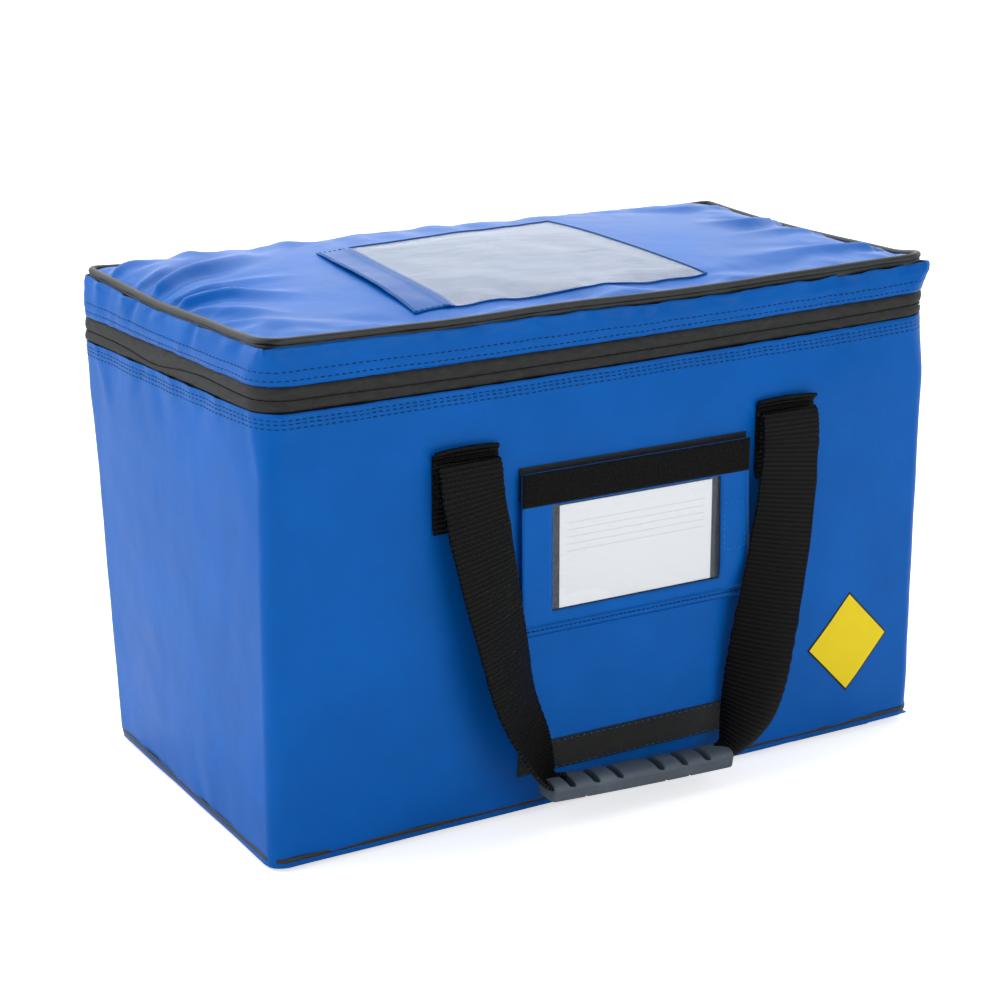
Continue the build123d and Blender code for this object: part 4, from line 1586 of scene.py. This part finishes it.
    def top(self) -> None:
        """The crowned, gathered cloth of the lid."""
        hx, hy = (half + 0.0006 for half in self.halves)
        gx, gy = np.meshgrid(np.linspace(-1, 1, 281) * hx, np.linspace(-1, 1, 149) * hy)
        corner = np.where(gy > 0, 0.0105, 0.0165)
        cx = np.clip((np.abs(gx) - (hx - corner)) / corner, 0, 1)
        cy = np.clip((np.abs(gy) - (hy - corner)) / corner, 0, 1)
        round_x = cx * np.sqrt(1 - cy * cy / 2)
        round_y = cy * np.sqrt(1 - cx * cx / 2)
        x = np.sign(gx) * np.where(cx > 0, hx - corner + corner * round_x, np.abs(gx))
        y = np.sign(gy) * np.where(cy > 0, hy - corner + corner * round_y, np.abs(gy))
        piece = sheet_piece("lid_top_cloth", self.surface(x, y), np.stack([gx, gy], -1))
        hang(piece, self.finishes.cloth, "lid", "lid_top_panel", thick=CLOTH, slot="coated_cloth")

    def inside(self) -> None:
        """Padding, foam and the wipe-clean sheet under the top."""
        low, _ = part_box("lid_foam")
        foam = rounded_block("lid_foam_slab", (-0.2185, -0.111, low[2]), (0.2185, 0.111, 0.2985), 0.003, 2)
        hang(foam, self.finishes.foam, "lid", "lid_foam", "lid_padding")
        paint_mesh(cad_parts["lid_liner"].data, self.finishes.lining)


@dataclass
class DocumentPocket:
    """Clear film pocket on the lid, with a cloth strip along its open left end.

    Args:
        finishes: Shared finishes.
        lid: The lid that it lies on.
        corners: Front left, front right, back right and back left corner.
        strip: Share of its length that the strip takes.
    """

    finishes: Finishes
    lid: Lid
    corners: tuple = ((-0.118, -0.088), (0.08, -0.089), (0.071, 0.076), (-0.1045, 0.057))
    strip: float = 0.135

    def quad(self, u: Points, v: Points) -> tuple[Points, Points]:
        """Places on the lid for shares across and along the pocket, strip and film together.

        Args:
            u: Shares from its left end.
            v: Shares from its front edge.

        Returns:
            Places along and across the bag.
        """
        a, b, c, d = (np.array(corner) for corner in self.corners)
        weights = ((1 - u) * (1 - v), u * (1 - v), u * v, (1 - u) * v)
        bow = 0.0016 * np.sin(math.pi * v) * (1 - u)
        x, y = (sum(w * corner[k] for w, corner in zip(weights, (a, b, c, d))) for k in (0, 1))
        return x - bow, y

    def build(self) -> None:
        """Builds film, welded edge and strip."""
        u, v = np.meshgrid(np.linspace(0, 1, 84), np.linspace(0, 1, 64))
        x, y = self.quad(self.strip * 0.97 + u * (1 - self.strip * 0.97), v)
        inside = smooth(0.0, 0.02, np.minimum.reduce([u, 1 - u, v, 1 - v]) * 0.15)
        lift = 0.0004 + 0.0008 * inside + ripple(x, y, 5.0, 34.0) * 0.0007 * inside
        points = self.lid.surface(x, y) + np.stack([0 * lift, 0 * lift, lift], -1)
        film = sheet_piece("document_film", points, np.stack([x, y], -1))
        hang(film, self.finishes.pocket_film, "lid", "document_pocket", thick=0.0003)
        self.edges(x, y)
        self.edge_strip()

    def edges(self, x: Points, y: Points) -> None:
        """Thin welded line along the film's three closed sides."""
        ring = (np.concatenate([a[0], a[1:, -1], a[-1, -2::-1]]) for a in (x, y))
        line = self.lid.surface(*ring, 0.0006)
        piece = mesh_piece("document_film_edge", *tube(line, 0.0005, 6, closed=False))
        hang(piece, self.finishes.film_edge, "lid")

    def edge_strip(self) -> None:
        """Blue cloth strip, sewn down along both long edges and standing up a little at the left."""
        u, v = np.meshgrid(np.linspace(0, 1, 16), np.linspace(0, 1, 70))
        x, y = self.quad(u * self.strip, v)
        lift = 0.001 + 0.0016 * (1 - u) ** 1.5 * np.sin(math.pi * v) + ripple(x, y, 15.0, 60.0) * 0.0003 \
            + 0.0008 * np.exp(-((u - 0.8) / 0.07) ** 2)
        points = self.lid.surface(x, y) + np.stack([0 * lift, 0 * lift, lift], -1)
        piece = sheet_piece("document_edge_strip", points, np.stack([x, y], -1))
        hang(piece, self.finishes.film_edge, "lid", "pocket_edge_strip", thick=0.0008)
        rows = []
        up = np.zeros((70, 3)) + (0, 0, 1)
        for path in (points[:, 1], points[:, 13], points[1], points[-2]):
            rows.append(stitches(path, up[:len(path)], 0.0026, 0.0036, 0.00032))
        sew("document_strip_thread", rows, self.finishes.thread, "lid")


# Handles

@dataclass
class Handle:
    """One webbing handle with its sewn patches, twisted straps and moulded grip.

    Args:
        finishes: Shared finishes.
        front: Whether it is the front handle.
        half_spacing: From the bag's middle to a strap's middle.
        patch_width: Width of a sewn patch.
        patch_top: Height of its top edge.
        patch_height: From its top edge to its lower one.
        webbing: Thickness of the webbing.
        stations: Place along the bag, distance out from the wall, height, turn in degrees, width, fold angle.
        straight: How many of the strap's first rows lie level.
        grip_half: Half the grip's length.
        grip_tilt: Slope of the grip, as it hangs.
        grip_place: Middle of the front grip.
        notches: Places of the notches between the finger humps.
        notch_run: Length of a notch's slope.
    """

    finishes: Finishes
    front: bool
    half_spacing: float = 0.111
    patch_width: float = 0.042
    patch_top: float = 0.235
    patch_height: float = 0.049
    webbing: float = 0.0019
    stations: tuple = (
        (0.111, 0.0026, 0.203, 0.0, 0.04, 0.02),
        (0.111, 0.0027, 0.22, 0.0, 0.04, 0.02),
        (0.111, 0.0046, 0.2262, 0.0, 0.04, 0.03),
        (0.1108, 0.0078, 0.2215, 1.0, 0.04, 0.05),
        (0.11, 0.0098, 0.205, 2.0, 0.04, 0.1),
        (0.1055, 0.013, 0.174, 6.0, 0.04, 0.18),
        (0.1, 0.015, 0.145, 13.0, 0.04, 0.3),
        (0.0935, 0.0165, 0.115, 20.0, 0.04, 0.45),
        (0.088, 0.0172, 0.09, 26.0, 0.0396, 0.7),
        (0.0835, 0.0176, 0.069, 30.0, 0.038, 1.1),
        (0.0785, 0.0178, 0.051, 33.0, 0.034, 1.6),
        (0.0725, 0.0172, 0.0372, 36.0, 0.026, 2.1),
        (0.0668, 0.0162, 0.028, 38.0, 0.0165, 2.5),
        (0.061, 0.0152, 0.024, 40.0, 0.0095, 2.6),
        (0.052, 0.015, 0.0225, 40.0, 0.008, 2.6),
    )
    straight: int = 40
    grip_half: float = 0.0645
    grip_tilt: float = -0.042
    grip_place: tuple = (-0.0012, -0.1395, 0.0218)
    notch_run: float = 0.0052
    notches: tuple = (-0.05, -0.033, -0.0165, 0.013, 0.03, 0.047)

    @property
    def label(self) -> str:
        """Name of the handle's side."""
        return "front" if self.front else "back"

    def turn(self, points: Points) -> Points:
        """Points of the front handle, or the same ones turned half round for the back."""
        return points if self.front else points * np.array([-1.0, -1.0, 1.0])

    def build(self) -> None:
        """Builds both ends and dresses the grip."""
        for side in (-1, 1):
            self.patch(side)
            self.strap(side)
        self.grip()

    def grip(self) -> None:
        """Moulded grip: squared ends, a ridge along both flanks and finger humps with leaning notches."""
        x = np.linspace(-self.grip_half, self.grip_half, 345)
        humps = np.full_like(x, 1.0)
        edges = [-self.grip_half - 0.004, *self.notches, self.grip_half + 0.004]
        for start, stop in zip(edges, edges[1:]):
            inside = (x >= start) & (x <= stop)
            place = (x[inside] - start) / (stop - start)
            humps[inside] -= 0.13 * np.abs(2 * place - 1) ** 3
        notch = np.zeros_like(x)
        for place in self.notches:
            back = (place - x) / self.notch_run
            slope = np.where(back >= 0, np.clip(1 - back, 0, 1) ** 1.3, 0.0)
            notch = np.maximum.reduce([notch, slope, np.clip(1 - (x - place) / 0.0006, 0, 1) * (x >= place)])
        nick = sum(np.clip(1 - np.abs(x - place) / 0.0012, 0, 1) for place in (-0.041, 0.016, 0.033))
        half = [(0.0103, -0.0004), (0.0096, -0.0012), (0.0092, -0.004), (0.0088, -0.0066), (0.0076, -0.0076),
                (0.004, -0.0078)]
        low = half + [(-y, z) for y, z in reversed(half)]
        bow = -0.0006 * (1 - (x / self.grip_half) ** 2)
        end = 1 - 0.1 * np.clip(1 - (self.grip_half - np.abs(x)) / 0.0016, 0, 1) ** 2
        rings = []
        for angle in np.linspace(0, math.pi, 27):
            up = math.sin(angle) ** 0.75
            core = math.sin(angle) ** 0.5
            z = 0.0046 * up * humps - 0.0062 * notch * core * smooth(0.1, 0.55, math.sin(angle))
            rings.append(np.c_[x, np.full_like(x, -0.0097 * math.cos(angle)) * end, z * end])
        for y, z in low:
            rings.append(np.c_[x, y * end, z * end + (0.0007 * nick if z < -0.005 else 0.0)])
        grid = np.array(rings)
        grid = grid + np.array(self.grip_place)
        grid[..., 2] += self.grip_tilt * grid[..., 0] + bow[None, :]
        count = len(x)
        verts = self.turn(grid.reshape(-1, 3))
        faces = []
        for r in range(len(rings)):
            other = (r + 1) % len(rings)
            faces.extend([r * count + i, other * count + i, other * count + i + 1, r * count + i + 1]
                         for i in range(count - 1))
        faces.append([r * count for r in range(len(rings))][::-1])
        faces.append([r * count + count - 1 for r in range(len(rings))])
        piece = mesh_piece(f"{self.label}_grip_moulding", verts, faces)
        edit(piece, bpy.ops.mesh.normals_make_consistent)
        hang(piece, self.finishes.grip, f"{self.label}_handle", f"{self.label}_grip",
             f"{self.label}_grip_webbing", slot="grip")

    def wall_end(self, side: int) -> str:
        """Name of the end that lies at this side of the front, as the solids name it."""
        right = (side > 0) == self.front
        return "right" if right else "left"

    def patch(self, side: int) -> None:
        """Sewn patch whose heat-cut top edge curls outwards.

        Args:
            side: -1 for the left end and 1 for the right one.
        """
        cols, rows = 23, 40
        u, v = np.meshgrid(np.linspace(-0.5, 0.5, cols), np.linspace(0, 1, rows))
        x = side * self.half_spacing + u * self.patch_width
        z = self.patch_top - self.patch_height * (1 - v)
        curl = 0.0042 * smooth(0.86, 1.0, v) ** 1.5 * (0.75 + 0.5 * u * side)
        curl += 0.001 * smooth(0.1, 0.0, v) * np.abs(u) * 2
        ridge = 0.0009 * np.exp(-((v - 0.845) / 0.018) ** 2) + 0.0006 * np.exp(-((v - 0.8) / 0.015) ** 2)
        ends = z - 0.0012 * smooth(0.86, 1.0, v) * (2 * u) ** 2
        y = -WALL_FACE - 0.0015 - curl - ridge - np.abs(ripple(x, z, 2.0, 90.0)) * 0.0003
        points = self.turn(np.stack([x, y, ends], -1))
        piece = sheet_piece(f"{self.label}_patch_{self.wall_end(side)}", points,
                            np.stack([u * self.patch_width, z], -1))
        hang(piece, self.finishes.webbing, "bag", f"{self.label}_anchor_{self.wall_end(side)}", thick=0.0015,
             slot="webbing")
        rows_of_thread = []
        out = np.zeros((cols, 3)) + ((0, -1, 0) if self.front else (0, 1, 0))
        for share in (0.845, 0.8):
            row = int(share * (rows - 1))
            rows_of_thread.append(stitches(points[row], out, 0.0022, 0.0029, 0.0004))
        sew(f"{self.label}_patch_thread_{self.wall_end(side)}", rows_of_thread, self.finishes.piping, "bag")

    def strap(self, side: int) -> None:
        """Webbing from the sewn tail over the fold and down, turning, into the grip.

        Args:
            side: -1 for the left end and 1 for the right one.
        """
        rows = curve_through(self.stations, 150)
        centre = np.c_[rows[:, 0], -WALL_FACE - rows[:, 1], rows[:, 2]]
        tangent = np.gradient(centre, axis=0)
        tangent /= np.linalg.norm(tangent, axis=1)[:, None]
        run = distances(centre)
        cols = 29
        across = np.linspace(-1, 1, cols)
        grid, uv = np.zeros((len(rows), cols, 3)), np.zeros((len(rows), cols, 2))
        for i, (_, _, z, turn, width, fold) in enumerate(rows):
            angle = math.radians(turn)
            wide = np.array([1.0, 0.0, 0.0])
            if i >= self.straight and z <= 0.2035 and tangent[i][2] <= 0:
                level = math.hypot(tangent[i][0], tangent[i][2])
                wide = np.array([-tangent[i][2], 0.0, tangent[i][0]]) / max(level, 1e-6)
            wide = wide * math.cos(angle) - np.array([0.0, 1.0, 0.0]) * math.sin(angle)
            wide -= tangent[i] * wide.dot(tangent[i])
            wide /= np.linalg.norm(wide)
            face = np.cross(tangent[i], wide)
            half_fold = max(fold, 0.02) / 2
            radius = 0.02 / half_fold
            arc = across * half_fold
            local_x = radius * np.sin(arc)
            local_y = radius * (1 - np.cos(arc))
            squeeze = min(1.0, width / (2 * radius * math.sin(min(half_fold, math.pi / 2))))
            arch = local_y - local_y.mean()
            hollow = -side * arch * min(1.0, squeeze + 0.1) * smooth(0.095, 0.05, z) \
                - arch * smooth(0.05, 0.095, z)
            grid[i] = centre[i] + np.outer(local_x * squeeze, wide) + np.outer(hollow, face)
            uv[i] = np.c_[across * 0.02, np.full(cols, run[i])]
        edge = 0.00035 * np.sin(run * 2 * math.pi / 0.0028)[:, None]
        push = np.zeros_like(grid)
        push[:, 0] = grid[:, 0] - grid[:, 1]
        push[:, -1] = grid[:, -1] - grid[:, -2]
        size = np.linalg.norm(push[:, [0, -1]], axis=2)[:, :, None]
        grid[:, [0, -1]] += push[:, [0, -1]] / size * edge[:, :, None]
        if side < 0:
            grid[..., 0] *= -1
        grid[..., 2] += self.grip_tilt * grid[..., 0] * smooth(0.11, 0.04, grid[..., 2])
        grid = self.turn(grid)
        name = f"{self.label}_strap_{self.wall_end(side)}"
        piece = sheet_piece(f"{name}_webbing", grid, uv, flip=side < 0)
        apply_modifier(piece, "SOLIDIFY", thickness=self.webbing, offset=0.0)
        dress(piece, self.finishes.webbing)
        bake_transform(piece)
        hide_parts(name)


# Address flap, fastener strips and mark

@dataclass
class AddressFlap:
    """Reversible flap with a windowed pocket, held up by hook-and-loop tape.

    Args:
        finishes: Shared finishes.
        left: Where its left edge lies along the bag.
        right: Where its right edge lies.
        foot: Height of its lower edge, above the hem.
        top: Height of its upper edge.
        window: Left, right, lower and upper edge of the window.
        stand: Distance of its middle layer from the bag's middle plane.
        tape_width: Width of the hook and loop tapes.
        lift: From the middle layer out to the cloth.
    """

    finishes: Finishes
    left: float = -0.0755
    right: float = 0.0835
    foot: float = 0.1199
    top: float = 0.213
    window: tuple = (-0.055, 0.063, 0.128, 0.192)
    stand: float = 0.1283
    tape_width: float = 0.02
    lift: float = 0.0003

    def bow(self, x: Points, z: Points) -> Points:
        """How far the soft flap stands out from its flat place."""
        down = smooth(0.195, 0.135, z)
        side = smooth(0.03, 0.084, x) * 0.0026 + smooth(-0.03, -0.0755, x) * 0.0006
        return side * down * smooth(0.1195, 0.14, z) + ripple(x, z, 21.0, 26.0) * 0.0004 * down

    def build(self) -> None:
        """Builds flap, window, tape, card and hem."""
        self.panel()
        self.film()
        self.tapes()
        self.hem()
        for node, material in (("label_card", self.finishes.card), ("label_pocket_back", self.finishes.tray)):
            paint_mesh(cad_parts[node].data, material)

    def grid(self, x0: float, x1: float, z0: float, z1: float, step: float, cuts_x: Sequence[float] = (),
             cuts_z: Sequence[float] = ()) -> tuple[Points, Points]:
        """Grid lines that include the cuts.

        Args:
            x0: Left edge.
            x1: Right edge.
            z0: Lower edge.
            z1: Upper edge.
            step: Size of a cell, about.
            cuts_x: Places that upright lines pass through.
            cuts_z: Heights that level lines pass through.

        Returns:
            Places and heights of the grid.
        """
        def lines(a: float, b: float, cuts: Sequence[float]) -> Points:
            """Sorted places from a to b, the cuts among them."""
            stops = [a, *sorted(cuts), b]
            spans = ((p, q, max(2, int(round((q - p) / step)) + 1)) for p, q in zip(stops, stops[1:]))
            return np.concatenate([*(np.linspace(*span)[:-1] for span in spans), [b]])

        return np.meshgrid(lines(x0, x1, cuts_x), lines(z0, z1, cuts_z))

    def panel(self) -> None:
        """Cloth of the flap with the window cut out, and its thread."""
        wx0, wx1, wz0, wz1 = self.window
        x, z = self.grid(self.left, self.right, self.foot, self.top, 0.0026, (wx0, wx1), (wz0, wz1))
        y = -self.stand - self.lift - self.bow(x, z)
        points = np.stack([x, y, z], -1)

        def cut(i: int, j: int) -> bool:
            """Whether a cell lies in the window."""
            mx, mz = (x[0, j] + x[0, j + 1]) / 2, (z[i, 0] + z[i + 1, 0]) / 2
            return wx0 < mx < wx1 and wz0 < mz < wz1

        piece = sheet_piece("flap_cloth", points, np.stack([x, z], -1), hole=cut)
        hang(piece, self.finishes.flap_cloth, "label_flap", "label_flap_panel", thick=0.0006)
        corners = [(0.0655, 0.1745), (0.0795, 0.1745), (0.0805, 0.1465), (0.0655, 0.1455), (0.0655, 0.1745)]
        path = np.vstack([np.linspace(a, b, 12)[:-1] for a, b in zip(corners, corners[1:])] + [[corners[-1]]])
        x, z = path.T
        line = np.c_[x, -self.stand - self.lift - self.bow(x, z), z]
        out = np.zeros((len(line), 3)) + (0, -1, 0)
        rows = [stitches(line, out, 0.0026, 0.004, 0.00035)]
        sew("flap_stitched_square", rows, self.finishes.bright_thread, "label_flap")

    def film(self) -> None:
        """Clear window behind the opening, slightly wrinkled."""
        wx0, wx1, wz0, wz1 = self.window
        x, z = self.grid(wx0 - 0.001, wx1 + 0.012, wz0 - 0.001, wz1 + 0.0005, 0.003)
        edge = np.minimum.reduce([x - wx0, wx1 - x, z - wz0, wz1 - z])
        ends = smooth(-0.04, -0.055, x) + smooth(0.05, 0.063, x)
        y = -self.stand + 0.00055 - self.bow(x, z) * smooth(0.012, 0.0, edge) \
            - ripple(x * 2.0, z, 31.0, 45.0) * 0.0003 * ends
        piece = sheet_piece("flap_window", np.stack([x, y, z], -1), np.stack([x, z], -1))
        hang(piece, self.finishes.window_film, "label_flap", "label_window", thick=0.0002)

    def strip(self, name: str, node: str, low: float, thick: float, facing: int = 0) -> None:
        """A length of tape with soft edges.

        Args:
            name: Name of the piece.
            node: The solid that it replaces.
            low: Height of its lower edge.
            thick: Its thickness.
            facing: -1 on the flap's front, 1 on its back and 0 on the wall.
        """
        top = low + self.tape_width
        x, z = self.grid(self.left, self.right, low, top, 0.0014)
        edge = np.minimum.reduce([x - self.left, self.right - x, z - low, top - z])
        puff = thick * (0.55 + 0.45 * smooth(0.0, 0.0016, edge))
        nap = np.abs(ripple(x, z, 8.0, 420.0)) * 0.00035
        if facing:
            points = np.stack([x, -self.stand + facing * (self.lift + puff + nap), z], -1)
        else:
            points = front_surface(x, z)
            points[..., 1] -= puff + nap * 0.5
        piece = sheet_piece(name, points, np.stack([x, z], -1), flip=facing > 0)
        material, body = (self.finishes.loop, "label_flap") if facing else (self.finishes.hook, "bag")
        hang(piece, material, body, node, thick=thick * 0.8)

    def tapes(self) -> None:
        """Loop tape on both faces of the flap and hook tape above and below on the wall."""
        self.strip("flap_loop_front", "label_loop_front", 0.193, 0.001, -1)
        self.strip("flap_loop_back", "label_loop_back", 0.193, 0.001, 1)
        self.strip("hook_tape_upper", "label_hook_upper", 0.196, 0.0011)
        self.strip("hook_tape_lower", "label_hook_lower", 0.026, 0.0011)
        rows = []
        for z in (0.0275, 0.0445):
            x = np.linspace(self.left + 0.002, self.right - 0.002, 60)
            points = front_surface(x, np.full(60, z))
            points[:, 1] -= 0.0013
            rows.append(stitches(points, np.zeros((60, 3)) + (0, -1, 0), 0.0012, 0.0046, 0.0003))
        sew("hook_tape_thread", rows, self.finishes.bright_thread, "bag")

    def hem(self) -> None:
        """Folded hem that joins the flap to the wall, with its seam."""
        x, z = self.grid(self.left, self.right, 0.1128, 0.1195, 0.0011)
        top = smooth(0.1128, 0.115, z)
        points = front_surface(x, z)
        points[..., 1] -= 0.0006 + 0.0018 * top + ripple(x, z, 14.0, 40.0) * 0.0002
        piece = sheet_piece("flap_hem", points, np.stack([x, z], -1))
        hang(piece, self.finishes.flap_cloth, "bag", "label_flap_seam", thick=0.0006)
        line = np.linspace(self.left + 0.001, self.right - 0.001, 90)
        path = front_surface(line, np.full(90, 0.1168))
        path[:, 1] -= 0.0026
        rows = [stitches(path, np.zeros((90, 3)) + (0, -1, 0), 0.0024, 0.0032)]
        sew("flap_hem_thread", rows, self.finishes.thread, "bag")


@dataclass
class DiamondMark:
    """Plain yellow diamond low on the front.

    Args:
        finishes: Shared finishes.
        x: Its middle, along the bag.
        z: Height of its middle.
        side: Length of a side.
    """

    finishes: Finishes
    x: float = 0.17
    z: float = 0.065
    side: float = 0.047

    def build(self) -> None:
        """Builds the print as a thin patch that follows the wall."""
        a, b = np.meshgrid(np.linspace(-0.5, 0.5, 22) * self.side, np.linspace(-0.5, 0.5, 22) * self.side)
        x = self.x + (a - b) * math.sqrt(0.5)
        z = self.z + (a + b) * math.sqrt(0.5)
        points = front_surface(x, z)
        points[..., 1] -= 0.00025
        piece = sheet_piece("diamond_patch", points, np.stack([a, b], -1))
        hang(piece, self.finishes.diamond, "bag", "marker_patch", thick=0.0002)


# Studio

@dataclass
class Studio:
    """Pale floor and backdrop, soft lamps and the camera.

    Args:
        camera_place: Where the camera stands.
        azimuth: Its direction round the bag, in degrees.
        elevation: Its height as an angle, in degrees.
        roll: Its turn about its own axis, in degrees.
        lens: Its focal length, in millimetres.
        bright_side: Direction that the brightest sky lies in.
        dark_level: Strength of the darkest sky.
        bright_level: Strength of the brightest sky.
        floor_glow: Strength that shows the floor white.
        mirrored: Share of that glow that gloss sees.
        lamps: Name, place, aim, width, height and watts of each lamp.
    """

    camera_place: tuple = (-0.7529, -1.2487, 0.5913)
    azimuth: float = -30.616
    elevation: float = 16.703
    roll: float = -0.133
    lens: float = 2409.75 / 1000 * 36.0
    bright_side: tuple = (0.45, 0.86, 0.24)
    dark_level: float = 0.18
    bright_level: float = 2.1
    floor_glow: float = 0.62
    mirrored: float = 0.25
    lamps: tuple = (
        ("softbox_left", (-1.6, 0.3, 1.1), (0, 0, 0.18), 1.6, 1.4, 16.0),
        ("softbox_top", (0.1, 0.9, 1.7), (0, 0, 0.25), 2.0, 1.2, 9.0),
        ("softbox_front", (0.5, -2.2, 1.1), (0, 0, 0.12), 1.6, 1.2, 19.0),
    )

    def build(self) -> None:
        """Builds the surroundings."""
        self.floor()
        self.world()
        for name, place, aim, across, up, watts in self.lamps:
            light = bpy.data.lights.new(name, "AREA")
            light.shape = "RECTANGLE"
            light.size, light.size_y, light.energy = across, up, watts
            lamp = bpy.data.objects.new(name, light)
            lamp.location = place
            lamp.rotation_euler = (Vector(aim) - Vector(place)).to_track_quat("-Z", "Y").to_euler()
            bpy.context.scene.collection.objects.link(lamp)
        self.camera()

    def floor(self) -> None:
        """White floor that shows white to the camera and keeps the bag's shadow."""
        bpy.ops.object.select_all(action="DESELECT")
        bpy.ops.mesh.primitive_plane_add(size=9.0, location=(0, 0, -0.0002))
        floor = bpy.context.object
        floor.name = "pale_floor"
        paint = Paint("pale_floor")
        plain = paint.node("ShaderNodeBsdfDiffuse", None, {"Color": (0.86, 0.86, 0.86)})
        glow = paint.node("ShaderNodeEmission", None, {"Color": (1.0, 1.0, 1.0), "Strength": self.floor_glow})
        seen = paint.seen_by("Camera") + paint.seen_by("Glossy") * self.mirrored
        seen = seen + paint.seen_by("Transmission")
        lit = paint.node("ShaderNodeAddShader", None, {0: plain, 1: glow})
        paint.end(paint.node("ShaderNodeMixShader", None, {0: seen.maths("MINIMUM", 1.0), 1: plain, 2: lit}))
        floor.data.materials.append(paint.owner)

    def world(self) -> None:
        """Surroundings brighter to one side, and plain white where the camera sees them."""
        paint = Paint("studio", Tree.WORLD)
        bpy.context.scene.world = paint.owner
        sky = paint.node("ShaderNodeTexCoord", output="Generated")
        toward = paint.node("ShaderNodeVectorMath", {"operation": "DOT_PRODUCT"}, {0: sky, 1: self.bright_side},
                            "Value")
        level = paint.node("ShaderNodeMapRange", {"interpolation_type": "SMOOTHSTEP"},
                           {"Value": toward, "From Min": -0.2, "From Max": 0.95,
                            "To Min": self.dark_level, "To Max": self.bright_level})
        plain = paint.node("ShaderNodeBackground", None, {"Color": (0.9, 0.95, 1.0), "Strength": level})
        white = paint.node("ShaderNodeBackground", None, {"Color": (1.0, 1.0, 1.0), "Strength": 1.0})
        seen = paint.seen_by("Camera").maths("MAXIMUM", paint.seen_by("Transmission"))
        paint.end(paint.node("ShaderNodeMixShader", None, {0: seen, 1: plain, 2: white}))

    def camera(self) -> None:
        """Camera at the photograph's viewing angle."""
        camera = bpy.data.cameras.new("view")
        camera.sensor_width = 36.0
        camera.lens = self.lens
        camera.clip_start, camera.clip_end = 0.02, 50.0
        holder = bpy.data.objects.new("view", camera)
        a, e = math.radians(self.azimuth), math.radians(self.elevation)
        back = Vector((math.sin(a) * math.cos(e), -math.cos(a) * math.cos(e), math.sin(e)))
        holder.location = self.camera_place
        holder.rotation_mode = "QUATERNION"
        turn = (-back).to_track_quat("-Z", "Y")
        holder.rotation_quaternion = turn @ Quaternion((0, 0, 1), math.radians(self.roll))
        bpy.context.scene.collection.objects.link(holder)
        bpy.context.scene.camera = holder


def main() -> None:
    """Builds the bag's looks in order."""
    logging.basicConfig(level=logging.INFO, format="%(message)s")
    scene = bpy.context.scene
    scene.view_settings.view_transform = "Standard"
    studio = Studio()
    studio.build()
    finishes = Finishes()
    lid = Lid(finishes)
    for part in (Body(finishes), Zip(finishes), lid, DocumentPocket(finishes, lid), Handle(finishes, True),
                 Handle(finishes, False), AddressFlap(finishes), DiamondMark(finishes)):
        part.build()
        log.info("built %s", type(part).__name__)


if __name__ == "__main__":
    main()
